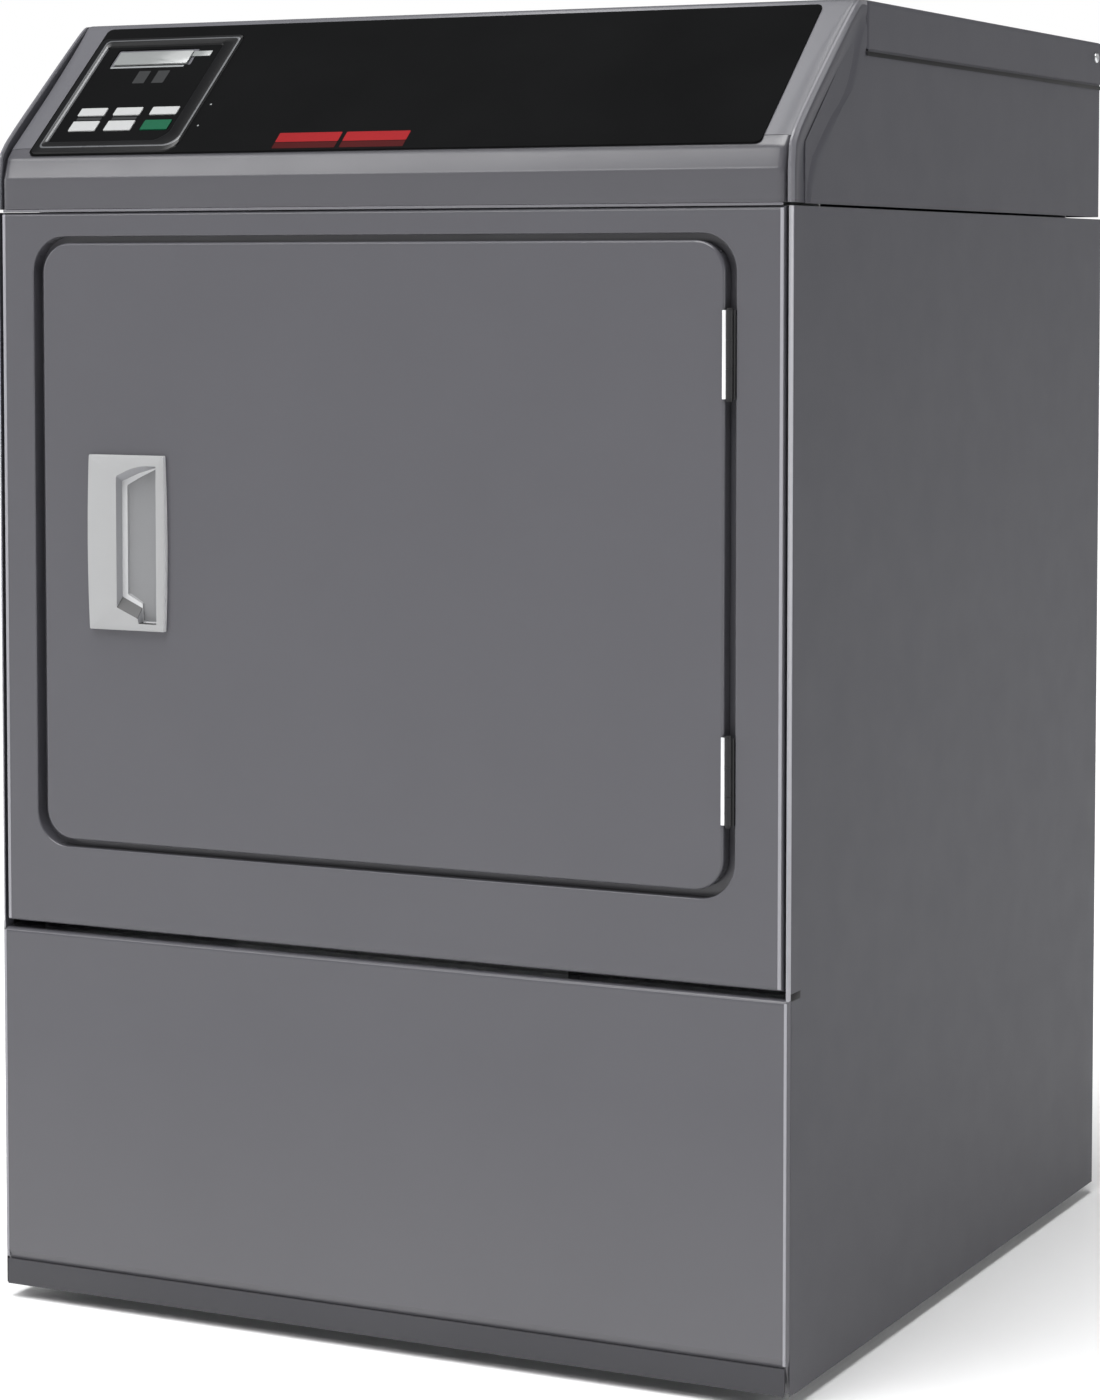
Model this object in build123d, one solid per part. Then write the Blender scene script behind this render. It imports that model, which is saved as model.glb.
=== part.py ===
"""Front-control tumble dryer, built as an assembly of separate sheet-metal, moulded and turned pieces.

Frame: millimetres, +Z up, X to the right seen from the front, Y towards the rear.
The origin is on the floor, under the centre of the overall box.
"""
from build123d import *
import math
import os

# ---- driving dimensions -------------------------------------------------------------------
WIDTH = 683.0
CABINET_DEPTH = 711.0
HEIGHT = 1028.0
SHEET = 1.2
HEM = 3.2
CLEAR = 0.1
HANDLE_PROUD = 8.0
COLLAR_OUT = 45.0
FOOT_HEIGHT = 11.0
HOOD_SEAM_Z = 874.0
LOWER_SEAM_Z = 305.0

# ---- places that follow from them ---------------------------------------------------------
HALF = WIDTH / 2
INSIDE = HALF - SHEET
FRONT = HANDLE_PROUD - (CABINET_DEPTH + HANDLE_PROUD + COLLAR_OUT) / 2
REAR = FRONT + CABINET_DEPTH
BASE = FOOT_HEIGHT
LOWER_TOP = LOWER_SEAM_Z - 3.0
FRONT_PANEL_BOTTOM = LOWER_SEAM_Z + 3.0
FRONT_PANEL_HALF = HALF - 5.5
CABINET_TOP = HOOD_SEAM_Z - 1.0
HOOD_BOTTOM = HOOD_SEAM_Z + 1.0

# ---- loading opening, door and hinges -----------------------------------------------------
PORT_WIDTH = 440.0
PORT_HEIGHT = 380.0
PORT_RADIUS = 120.0
AXIS_Z = 612.0
RECESS = (-306.0, 298.0, 371.0, 854.0)
RECESS_RADIUS = 28.0
DOOR = (-297.5, 289.0, 377.0, 849.0)
DOOR_RADIUS = 24.0
DOOR_DEPTH = 11.0
LAND = FRONT + 12.8
HINGE_X = 293.5
HINGE_Y = FRONT - 1.0
HINGE_LEVELS = (458.0, 766.5)
HINGE_HALF = 32.0
KNUCKLE_HALF = 10.5
KNUCKLE_RADIUS = 2.8
PIN_RADIUS = 1.5
SWITCH_X = 262.0
SWITCH_Z = 702.0

# ---- drum and what carries it -------------------------------------------------------------
DRUM_RADIUS = 310.0
DRUM_FRONT = FRONT + 62.0
DRUM_REAR = 240.0
BULKHEAD_FRONT = FRONT + 57.0
BULKHEAD_REAR = 246.0
BELT_Y = FRONT + 304.0
BELT_WIDTH = 8.0
BELT_THICK = 2.2
BELT_GAP = 0.3
ROLLER_RADIUS = 35.0
ROLLER_ANGLE = 35.0
BAFFLE_ANGLES = (90.0, 210.0, 330.0)

# ---- motor, blower and exhaust ------------------------------------------------------------
MOTOR_X = 60.0
MOTOR_Z = 140.0
SHAFT_RADIUS = 6.0
PULLEY_RADIUS = 11.0
IDLER_RADIUS = 18.0
IDLER_X = -8.0
IDLER_Z = 166.0
ARM_PIVOT_X = 0.0
ARM_PIVOT_Z = 80.0
DUCT_X = -75.0
DUCT_Z = 100.0
DUCT_RADIUS = 50.8
BEAD = 3.0

# ---- sloped control fascia ----------------------------------------------------------------
SLOPE_DEG = 41.5
SLOPE_Y = FRONT + 3.4
SLOPE_Z = 916.0
SLOPE = Plane(
    origin=(0, SLOPE_Y, SLOPE_Z),
    x_dir=(1, 0, 0),
    z_dir=(0, -math.sin(math.radians(SLOPE_DEG)), math.cos(math.radians(SLOPE_DEG))),
)
OVERLAY = (-314.0, 314.0, 3.0, 162.0)
OVERLAY_BACK = -1.2
OVERLAY_FRONT = 1.0
BEZEL_OUTER = (-309.0, -179.0, 4.0, 147.0)
BEZEL_INNER = (-301.0, -193.0, 17.0, 135.0)
KEY_WIDTH = 25.0
KEY_COLUMNS = (-277.0, -244.0, -210.0)
KEY_ROWS = ((36.5, 12.0), (54.0, 9.5))
DISPLAY = (-290.0, -214.0, 112.5, 133.5)

# ---- feet and screws ----------------------------------------------------------------------
FEET = [(sx * 300.0, y) for y in (FRONT + 70.0, REAR - 45.0) for sx in (-1, 1)]
STEM_RADIUS = 5.0
SCREW_HEAD = 4.5
SCREW_SHANK = 1.9
BEVEL_DEPTH = 10.0
BEVEL_HEIGHT = 28.0


def block(x0, x1, y0, y1, z0, z1):
    """Box between two corners."""
    return Pos((x0 + x1) / 2, (y0 + y1) / 2, (z0 + z1) / 2) * Box(x1 - x0, y1 - y0, z1 - z0)


def rod(x, z, radius, y0, y1):
    """Round bar along Y."""
    return Pos(x, (y0 + y1) / 2, z) * Rot(90, 0, 0) * Cylinder(radius, y1 - y0)


def ring(x, z, outer, inner, y0, y1):
    """Tube along Y."""
    return rod(x, z, outer, y0, y1) - rod(x, z, inner, y0 - 1, y1 + 1)


def post(x, y, radius, z0, z1):
    """Round bar along Z."""
    return Pos(x, y, (z0 + z1) / 2) * Cylinder(radius, z1 - z0)


def plate(bounds, radius, y0, y1, grow=0.0):
    """Rounded rectangle (x0, x1, z0, z1) in the XZ plane, from y0 back to y1, grown all round."""
    x0, x1, z0, z1 = bounds
    plane = Plane(origin=((x0 + x1) / 2, y1, (z0 + z1) / 2), x_dir=(1, 0, 0), z_dir=(0, -1, 0))
    outline = RectangleRounded(x1 - x0 + 2 * grow, z1 - z0 + 2 * grow, radius + grow)
    return extrude(plane * outline, amount=y1 - y0)


def port(y0, y1, grow=0.0):
    """Loading opening's rounded outline, from y0 back to y1."""
    bounds = (-PORT_WIDTH / 2, PORT_WIDTH / 2, AXIS_Z - PORT_HEIGHT / 2, AXIS_Z + PORT_HEIGHT / 2)
    return plate(bounds, PORT_RADIUS, y0, y1, grow)


def side_prism(points, x0, x1):
    """Polygon of (y, z) points carried along X from x0 to x1."""
    plane = Plane(origin=(x0, 0, 0), x_dir=(0, 1, 0), z_dir=(1, 0, 0))
    return extrude(plane * make_face(Polyline(*points, close=True)), amount=x1 - x0)


def front_prism(points, y0, y1):
    """Polygon of (x, z) points carried back from y0 to y1."""
    plane = Plane(origin=(0, y1, 0), x_dir=(1, 0, 0), z_dir=(0, -1, 0))
    return extrude(plane * make_face(Polyline(*points, close=True)), amount=y1 - y0)


def on_slope(bounds, n0, n1, radius=0.0):
    """Rectangle (x0, x1, s0, s1) on the sloped fascia, between depths n0 and n1 along its normal."""
    x0, x1, s0, s1 = bounds
    size = (x1 - x0, s1 - s0)
    outline = RectangleRounded(*size, radius) if radius else Rectangle(*size)
    return SLOPE * Pos((x0 + x1) / 2, (s0 + s1) / 2, n0) * extrude(outline, amount=n1 - n0)


def edges_at(solid, axis, value, within=0.01):
    """Edges lying wholly in the plane where that axis has that value."""
    index = {"X": 0, "Y": 1, "Z": 2}[axis]

    def flat(edge):
        box = edge.bounding_box()
        low, high = tuple(box.min)[index], tuple(box.max)[index]
        return abs(low - value) < within and abs(high - value) < within

    return ShapeList([edge for edge in solid.edges() if flat(edge)])


def save(name, shape):
    """Writes one named piece as STEP."""
    export_step(shape, f"parts/{name}.step")


def screw(point, direction):
    """Pan-head screw whose head rests on point and looks along direction."""
    plane = Plane(origin=point, z_dir=direction)
    head = Pos(0, 0, 1.1) * Cylinder(SCREW_HEAD, 2.2)
    head = fillet(head.edges().sort_by(Axis.Z)[-1], 1.6)
    slot = Pos(0, 0, 2.0) * Box(5.0, 1.0, 1.2) + Pos(0, 0, 2.0) * Box(1.0, 5.0, 1.2)
    shank = Pos(0, 0, -3.0) * Cylinder(SCREW_SHANK, 6.0)
    return plane * (head - slot + shank)


def drill(sheet, places):
    """Clearance holes for screws."""
    for point, direction in places:
        sheet -= Plane(origin=point, z_dir=direction) * Cylinder(SCREW_SHANK + CLEAR, 12.0)
    return sheet


BEVEL_LENGTH = math.hypot(BEVEL_DEPTH, BEVEL_HEIGHT)
BEVEL_NORMAL = (0, -BEVEL_HEIGHT / BEVEL_LENGTH, -BEVEL_DEPTH / BEVEL_LENGTH)
ACCESS_SCREWS = [((x, FRONT + 0.625 * BEVEL_DEPTH, BASE + 0.375 * BEVEL_HEIGHT), BEVEL_NORMAL)
                 for x in (-286.0, 286.0)]
REAR_SCREWS = [((sx * (HALF - 8.0), REAR, z), (0, 1, 0))
               for sx in (-1, 1) for z in (60.0, 330.0, 600.0, 845.0)]
COVER_SCREWS = [((sx * HALF, REAR - 20.0, HEIGHT - 14.0), (sx, 0, 0)) for sx in (-1, 1)]
COVER_SCREWS += [((x, REAR, HEIGHT - 18.0), (0, 1, 0)) for x in (-220.0, 220.0)]


# ---- cabinet ------------------------------------------------------------------------------
def base_pan():
    """Tray under the whole machine, with a boss for each levelling foot."""
    y0, y1 = FRONT + 24.0, REAR - 3.0
    side = INSIDE - CLEAR
    pan = block(-side, side, y0, y1, BASE, BASE + 25.0)
    pan -= block(-side + 1.5, side - 1.5, y0 + 1.5, y1 - 1.5, BASE + 1.5, BASE + 30.0)
    for x, y in FEET:
        pan += post(x, y, 11.0, BASE + 1.0, BASE + 16.0)
        pan -= post(x, y, STEM_RADIUS + 0.08, BASE - 5.0, BASE + 20.0)
    return pan


def side_panel(sign):
    """Cabinet side: one sheet hemmed at the front and turned in at the rear."""
    outer = block(HALF - 15.0, HALF, FRONT, REAR, BASE, CABINET_TOP)
    outer = fillet(outer.edges().filter_by(Axis.Z).sort_by(Axis.X)[-2:], 1.7)
    inner = block(HALF - 20.0, INSIDE, FRONT + SHEET, REAR - SHEET, BASE - 1.0, CABINET_TOP + 1.0)
    inner = fillet(inner.edges().filter_by(Axis.Z).sort_by(Axis.X)[-2:], 1.7 - SHEET)
    panel = outer - inner
    panel -= block(0, HALF - HEM, FRONT - 1.0, FRONT + 5.0, 0, HEIGHT)
    panel += block(HALF - HEM, HALF - HEM + SHEET, FRONT + 0.6, FRONT + 12.0, BASE, CABINET_TOP)
    panel = fillet(panel.edges().filter_by(Axis.Z).group_by(Axis.Y)[0].sort_by(Axis.X)[0], 1.1)
    panel -= block(0, HALF + 1.0, FRONT - 1.0, FRONT + 20.0 + CLEAR, 0, FRONT_PANEL_BOTTOM - 1.0)
    if sign < 0:
        panel = mirror(panel, about=Plane.YZ)
    return drill(panel, [place for place in REAR_SCREWS if place[0][0] * sign > 0])


def rear_panel():
    """Flat back with an exhaust hole and two columns of air louvres."""
    y0, y1 = REAR - SHEET - CLEAR - SHEET, REAR - SHEET - CLEAR
    panel = block(-INSIDE + 2.2, INSIDE - 2.2, y0, y1, BASE + 26.5, CABINET_TOP - 1.0)
    cuts = [rod(DUCT_X, DUCT_Z, DUCT_RADIUS + 1.7, y0 - 1, y1 + 1)]
    for x in (-190.0, 190.0):
        for row in range(8):
            z = 420.0 + row * 18.0
            cuts.append(plate((x - 45.0, x + 45.0, z - 3.0, z + 3.0), 2.9, y0 - 1, y1 + 1))
    return drill(panel - Compound(cuts), REAR_SCREWS)


def front_panel():
    """Door surround: flanged sheet with a stepped recess, a sealing land and a port collar."""
    side = FRONT_PANEL_HALF
    outer = block(-side, side, FRONT, FRONT + 16.0, FRONT_PANEL_BOTTOM, CABINET_TOP)
    outer = fillet(edges_at(outer, "Y", FRONT), 3.5)
    inner = block(-side + SHEET, side - SHEET, FRONT + SHEET, FRONT + 17.0,
                  FRONT_PANEL_BOTTOM + SHEET, CABINET_TOP - SHEET)
    inner = fillet(edges_at(inner, "Y", FRONT + SHEET), 3.5 - SHEET)
    panel = outer - inner
    panel += plate(RECESS, RECESS_RADIUS, FRONT + 0.6, LAND + SHEET, SHEET)
    panel -= plate(RECESS, RECESS_RADIUS, FRONT - 1.0, LAND)
    panel += port(LAND, FRONT + 36.0, SHEET)
    panel -= port(LAND - 5.0, FRONT + 40.0)
    mouth = ShapeList([edge for edge in edges_at(panel, "Y", FRONT)
                       if RECESS[0] - 1 < edge.center().X < RECESS[1] + 1
                       and RECESS[2] - 1 < edge.center().Z < RECESS[3] + 1])
    panel = fillet(mouth, 1.1)
    panel -= rod(SWITCH_X, SWITCH_Z, 3.4, LAND - 2, LAND + 3)
    panel -= block(-284.0, -263.0, LAND - 2, LAND + 3, 599.0, 625.0)
    return panel


def lower_access_panel():
    """Removable lower front: pan with side returns and a toe that slopes back at the bottom."""
    def body(inset, back, radius):
        low, top, front = BASE + inset, LOWER_TOP - inset, FRONT + inset
        points = [(front, top), (front, BASE + BEVEL_HEIGHT), (front + BEVEL_DEPTH, low),
                  (back, low), (back, top)]
        solid = side_prism(points, -HALF + inset, HALF - inset)
        bent = ShapeList([edge for edge in solid.edges()
                          if edge.center().Y < front + BEVEL_DEPTH / 2 + 1
                          and (abs(edge.center().X) > 1 or edge.center().Z > top - 1)])
        return fillet(bent, radius)
    panel = body(0.0, FRONT + 20.0, 4.0) - body(SHEET, FRONT + 21.0, 4.0 - SHEET)
    return drill(panel, ACCESS_SCREWS)


def hood_shell():
    """Folded sheet behind the fascia: both sides and the rear of the control housing."""
    def body(inset):
        front, back, side = FRONT + 26.0, REAR - SHEET - CLEAR - inset, INSIDE - CLEAR - inset
        profile = [(front, HOOD_BOTTOM - inset), (back, HOOD_BOTTOM - inset),
                   (back, HEIGHT - 5.0 + inset), (front + 117.0, HEIGHT - 5.0 + inset), (front, 919.0)]
        solid = side_prism(profile, -side, side)
        return fillet(solid.edges().filter_by(Axis.Z).group_by(Axis.Y)[-1], 4.0 - inset)
    shell = body(0.0) - body(SHEET)
    shell -= block(-INSIDE + SHEET + CLEAR, INSIDE - SHEET - CLEAR, FRONT, FRONT + 160.0,
                   HOOD_BOTTOM - 2, HEIGHT + 2)
    shell -= block(-HALF, HALF, FRONT + 142.0, FRONT + 148.0, HEIGHT - 38.0, HEIGHT)
    return drill(shell, COVER_SCREWS)


def top_cover():
    """Lid: shallow pan turned down on all four sides, with rounded bends."""
    def pan(inset, bottom, radius):
        solid = block(-HALF + inset, HALF - inset, FRONT + 143.0 + inset, REAR - inset,
                      bottom, HEIGHT - inset)
        corners = solid.edges().filter_by(Axis.Z) + edges_at(solid, "Z", HEIGHT - inset)
        return fillet(corners, radius)
    lid = pan(0.0, HEIGHT - 36.5, 4.0) - pan(SHEET, HEIGHT - 40.0, 4.0 - SHEET)
    return drill(lid, COVER_SCREWS)


def case_screws():
    """All the outside screws of the cabinet."""
    return Compound([screw(*place) for place in ACCESS_SCREWS + REAR_SCREWS + COVER_SCREWS])


# ---- control fascia -----------------------------------------------------------------------
def fascia_shell():
    """Moulded control housing front: toe, slope and end skirts, bevelled along the slope's ends."""
    outer = side_prism(
        [(FRONT, HOOD_BOTTOM), (FRONT, 899.0), (SLOPE_Y, SLOPE_Z), (FRONT + 128.0, 1026.3),
         (FRONT + 132.0, HEIGHT), (FRONT + 142.5, HEIGHT), (FRONT + 142.5, 994.0),
         (FRONT + 110.0, 957.0), (FRONT + 57.0, 908.0), (FRONT + 31.0, HOOD_BOTTOM)], -HALF, HALF)
    outer = fillet(outer.edges().filter_by(Axis.X).group_by(Axis.Y)[0].sort_by(Axis.Z)[-1], 8.0)
    bevel = [(-HALF + 4.0, 0.5), (HALF - 4.0, 0.5), (HALF + 0.2, -9.0), (HALF + 0.2, -60.0),
             (-HALF - 0.2, -60.0), (-HALF - 0.2, -9.0)]
    across = Plane(origin=(SLOPE * Pos(0, -90, 0)).position, x_dir=(1, 0, 0), z_dir=SLOPE.y_dir)
    prism = extrude(across * make_face(Polyline(*[(x, -n) for x, n in bevel], close=True)), amount=330)
    outer = outer & prism
    inner = side_prism(
        [(FRONT + 2.0, 860.0), (FRONT + 2.0, 899.3), (SLOPE_Y + 1.9, SLOPE_Z - 0.8),
         (FRONT + 129.0, 1024.3), (FRONT + 133.0, 1026.0), (FRONT + 150.0, 1026.0),
         (FRONT + 150.0, 860.0)], -INSIDE, INSIDE)
    inner_bevel = [(-HALF + 6.0, -1.0), (HALF - 6.0, -1.0), (INSIDE, -11.0), (INSIDE, -160.0),
                   (-INSIDE, -160.0), (-INSIDE, -11.0)]
    inner_prism = extrude(across * make_face(Polyline(*[(x, -n) for x, n in inner_bevel], close=True)),
                          amount=330)
    return outer - (inner & inner_prism)


def control_fascia(shell):
    """Upper, sloped part of the shell, with a stepped window for the glossy overlay."""
    part = shell & block(-HALF - 1, HALF + 1, FRONT - 5, FRONT + 200, SLOPE_Z + 0.6, HEIGHT + 1)
    x0, x1, s0, s1 = OVERLAY
    part -= on_slope((x0 - 0.3, x1 + 0.3, s0 - 0.3, s1 + 0.3), OVERLAY_BACK, 5.0, 5.3)
    part -= on_slope((x0 + 8.0, x1 - 8.0, s0 + 8.0, s1 - 9.0), -6.0, 5.0, 4.0)
    return part


def fascia_lower_trim(shell):
    """Upright strip under the slope."""
    return shell & block(-HALF - 1, HALF + 1, FRONT - 5, FRONT + 200, HOOD_BOTTOM - 1, SLOPE_Z)


def key_bounds(column, row, grow=0.0):
    """Outline of one key on the slope."""
    x, (s, tall) = KEY_COLUMNS[column], KEY_ROWS[row]
    return (x - KEY_WIDTH / 2 - grow, x + KEY_WIDTH / 2 + grow, s - tall / 2 - grow, s + tall / 2 + grow)


def control_overlay():
    """Glossy panel that fills the slope, pierced for the display and the keys."""
    panel = on_slope(OVERLAY, OVERLAY_BACK, OVERLAY_FRONT, 5.0)
    for row in range(len(KEY_ROWS)):
        for column in range(len(KEY_COLUMNS)):
            panel -= on_slope(key_bounds(column, row, 0.3), -5.0, 5.0, 1.3)
    x0, x1, s0, s1 = DISPLAY
    return panel - on_slope((x0 - 0.1, x1 + 0.1, s0 - 0.1, s1 + 0.1), -5.0, 5.0, 1.1)


def keypad_bezel():
    """Raised frame round the display and keys."""
    frame = on_slope(BEZEL_OUTER, OVERLAY_FRONT, OVERLAY_FRONT + 2.6, 8.0)
    frame -= on_slope(BEZEL_INNER, 0.0, 6.0, 5.0)
    crown = [edge for edge in frame.edges()
             if (SLOPE.to_local_coords(edge.center())).Z > OVERLAY_FRONT + 2.5]
    return fillet(ShapeList(crown), 1.2)


def key(column, row):
    """Push key with a retaining flange behind the overlay."""
    cap = on_slope(key_bounds(column, row), -3.2, OVERLAY_FRONT + 0.9, 1.0)
    crown = [edge for edge in cap.edges()
             if (SLOPE.to_local_coords(edge.center())).Z > OVERLAY_FRONT + 0.8]
    cap = fillet(ShapeList(crown), 0.5)
    return cap + on_slope(key_bounds(column, row, 1.2), -3.2, OVERLAY_BACK - 0.4, 1.0)


def control_board():
    """Circuit board behind the keys, with its relays, transformer and spacers."""
    board = on_slope((-308.0, -130.0, 12.0, 146.0), -9.6, -8.0)
    for x, s, wide, tall, deep in ((-160, 40, 30, 38, 16), (-160, 90, 34, 34, 14), (-215, 120, 60, 16, 7)):
        board += on_slope((x - wide / 2, x + wide / 2, s - tall / 2, s + tall / 2), -9.6 - deep, -9.0)
    for x in (-301.0, -140.0):
        for s in (20.0, 140.0):
            board += SLOPE * Pos(x, s, -9.0) * extrude(Circle(3.0), amount=9.0 + OVERLAY_BACK)
    return board


# ---- door ---------------------------------------------------------------------------------
HANDLE = (-257.0, -187.5, 544.5, 680.0)
POCKET = [(-195.0, 672.0), (-214.0, 672.0), (-224.0, 669.0), (-231.0, 663.0), (-231.0, 561.0),
          (-217.0, 553.5), (-216.0, 549.0), (-195.0, 549.0)]


def door_outer_panel():
    """Door skin: shallow pan with rounded corners, cut out for the handle pocket."""
    outer = plate(DOOR, DOOR_RADIUS, FRONT, FRONT + DOOR_DEPTH)
    outer = fillet(edges_at(outer, "Y", FRONT), 2.5)
    inner = plate(DOOR, DOOR_RADIUS, FRONT + SHEET, FRONT + DOOR_DEPTH + 1, -SHEET)
    inner = fillet(edges_at(inner, "Y", FRONT + SHEET), 2.5 - SHEET)
    return outer - inner - block(-237.0, -190.0, FRONT - 1, FRONT + 3, 544.5 + 1.5, 678.5)


def door_liner():
    """Inner door sheet with a dished plug that fills the loading opening."""
    back = FRONT + DOOR_DEPTH
    sheet = plate(DOOR, DOOR_RADIUS, back - 1.4, back, -SHEET - 0.3)
    plug = fillet(edges_at(port(back - 1.4, FRONT + 34.0, -12.0), "Y", FRONT + 34.0), 9.0)
    dish = fillet(edges_at(port(back - 3.0, FRONT + 34.0 - SHEET, -12.0 - SHEET), "Y",
                           FRONT + 34.0 - SHEET), 9.0 - SHEET)
    return sheet + plug - dish


def door_seal():
    """Flat rubber ring between the door and the sealing land."""
    back = FRONT + DOOR_DEPTH
    return port(back, LAND - CLEAR, 16.0) - port(back - 1, LAND + 1, 3.5)


def door_handle():
    """Moulded pull: bowed plate with a finger pocket let into the door."""
    x0, x1, z0, z1 = HANDLE
    middle = (z0 + z1) / 2
    outline = make_face([Line((x0 + 1.5, z0), (x1 - 1.5, z0)),
                         ThreePointArc((x1 - 1.5, z0), (x1, middle), (x1 - 1.5, z1)),
                         Line((x1 - 1.5, z1), (x0 + 1.5, z1)),
                         ThreePointArc((x0 + 1.5, z1), (x0, middle), (x0 + 1.5, z0))])
    plane = Plane(origin=(0, FRONT - CLEAR, 0), x_dir=(1, 0, 0), z_dir=(0, -1, 0))
    face = extrude(plane * outline, amount=HANDLE_PROUD - CLEAR)
    face = fillet(edges_at(face, "Y", FRONT - HANDLE_PROUD), 1.5)
    box = block(-236.0, -191.0, FRONT - CLEAR - 1, FRONT + 9.2, 546.5, 677.5)
    cavity = front_prism(POCKET, FRONT - HANDLE_PROUD - 1, FRONT + 7.4)
    return face + box - cavity


def hinge_door_leaves():
    """Door-side hinge leaves: a plate with two end knuckles each."""
    leaves = []
    for level in HINGE_LEVELS:
        leaf = block(289.1, 290.4, FRONT + 0.4, FRONT + 10.0, level - HINGE_HALF, level + HINGE_HALF)
        for sign in (-1, 1):
            z0, z1 = sorted((level + sign * (KNUCKLE_HALF + 0.3), level + sign * HINGE_HALF))
            leaf += post(HINGE_X, HINGE_Y, KNUCKLE_RADIUS, z0, z1)
            leaf += block(289.1, HINGE_X - 1.6, HINGE_Y + 0.5, HINGE_Y + KNUCKLE_RADIUS, z0, z1)
            leaf -= post(HINGE_X, HINGE_Y, PIN_RADIUS + 0.06, z0 - 1, z1 + 1)
        leaves.append(leaf)
    return Compound(leaves)


def hinge_frame_leaves():
    """Cabinet-side hinge leaves: a plate with one middle knuckle each."""
    leaves = []
    for level in HINGE_LEVELS:
        leaf = block(296.6, 297.9, HINGE_Y, LAND - 0.3, level - HINGE_HALF, level + HINGE_HALF)
        z0, z1 = level - KNUCKLE_HALF, level + KNUCKLE_HALF
        leaf += post(HINGE_X, HINGE_Y, KNUCKLE_RADIUS, z0, z1)
        leaf += block(HINGE_X + 1.6, 297.9, HINGE_Y + 0.5, HINGE_Y + KNUCKLE_RADIUS, z0, z1)
        leaves.append(leaf - post(HINGE_X, HINGE_Y, PIN_RADIUS, z0 - 1, z1 + 1))
    return Compound(leaves)


def hinge_pins():
    """Headed pins through the knuckles."""
    pins = []
    for level in HINGE_LEVELS:
        pin = post(HINGE_X, HINGE_Y, PIN_RADIUS, level - HINGE_HALF - 0.4, level + HINGE_HALF + 0.4)
        for sign in (-1, 1):
            z0, z1 = sorted((level + sign * (HINGE_HALF + 0.3), level + sign * (HINGE_HALF + 1.5)))
            pin += post(HINGE_X, HINGE_Y, 2.4, z0, z1)
        pins.append(pin)
    return Compound(pins)


def door_switch_body():
    """Switch case behind the sealing land, bored for its plunger."""
    case = block(SWITCH_X - 12, SWITCH_X + 12, LAND + SHEET + CLEAR, LAND + 30, SWITCH_Z - 14, SWITCH_Z + 14)
    case -= rod(SWITCH_X, SWITCH_Z, 3.1, LAND, LAND + 26)
    for z in (SWITCH_Z - 7, SWITCH_Z + 7):
        case += block(SWITCH_X - 3, SWITCH_X + 3, LAND + 30, LAND + 38, z - 0.4, z + 0.4)
    return case


# ---- bulkheads, drum and drive ------------------------------------------------------------
def front_bulkhead():
    """Fixed wall before the drum with slits, its port tunnel with the lint slot, and its seal collar."""
    y0, y1 = BULKHEAD_FRONT, BULKHEAD_FRONT + SHEET
    wall = block(-338.5, 338.5, y0, y1, 290.0, 900.0)
    wall -= port(y0 - 1, y1 + 1)
    slits = [block(x - 4.0, x + 4.0, y0 - 1, y1 + 1, 386.0, 412.0)
             for x in [-90.0 + 18.0 * i for i in range(11)]]
    wall -= Compound(slits)
    tunnel = port(FRONT + 37.0, y0, SHEET) - port(FRONT + 30.0, y0 + 1)
    tunnel -= block(-142.0, 142.0, FRONT + 39.0, FRONT + 54.0, 400.0, 440.0)
    collar = ring(0, AXIS_Z, 254.0, 252.8, y1, y1 + 24.0)
    return Compound([wall.solid(), tunnel.solid(), collar.solid()])


def rear_bulkhead():
    """Fixed wall behind the drum: seal collar and a perforated warm-air inlet."""
    y0, y1 = BULKHEAD_REAR, BULKHEAD_REAR + SHEET
    wall = block(-338.5, 338.5, y0, y1, 285.0, 945.0)
    collar = ring(0, AXIS_Z, 280.0, 278.8, y0 - 24.0, y0)
    holes = []
    for i in range(9):
        for j in range(13):
            x, z = 22.0 + 22.0 * i, AXIS_Z - 40.0 + 22.0 * j + (11.0 if i % 2 else 0.0)
            if math.hypot(x, z - AXIS_Z) < 238.0:
                holes.append(rod(x, z, 6.0, y0 - 1, y1 + 1))
    wall -= Compound(holes)
    return Compound([wall.solid(), collar.solid()])


def drum_seals():
    """Felt rings that close the gaps between the drum and both bulkheads."""
    front = ring(0, AXIS_Z, 261.6, 254.1, DRUM_FRONT - 2.0, DRUM_FRONT + 9.0)
    rear = ring(0, AXIS_Z, 285.6, 280.1, DRUM_REAR - 10.0, DRUM_REAR + 4.0)
    return Compound([front, rear])


def drum_shell():
    """Open drum: rolled shell with two beads, turned in at the rear."""
    shell = rod(0, AXIS_Z, DRUM_RADIUS, DRUM_FRONT + SHEET, DRUM_REAR)
    for y in (DRUM_FRONT + 110.0, DRUM_REAR - 140.0):
        shell += rod(0, AXIS_Z, DRUM_RADIUS + 2.0, y, y + 8.0)
    shell -= rod(0, AXIS_Z, DRUM_RADIUS - 1.0, DRUM_FRONT - 1, DRUM_REAR - SHEET)
    return shell - rod(0, AXIS_Z, 286.0, DRUM_REAR - 3, DRUM_REAR + 1)


def drum_front_head():
    """Flat ring that closes the drum's front down to its seal."""
    return ring(0, AXIS_Z, DRUM_RADIUS, 262.0, DRUM_FRONT, DRUM_FRONT + SHEET)


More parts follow.
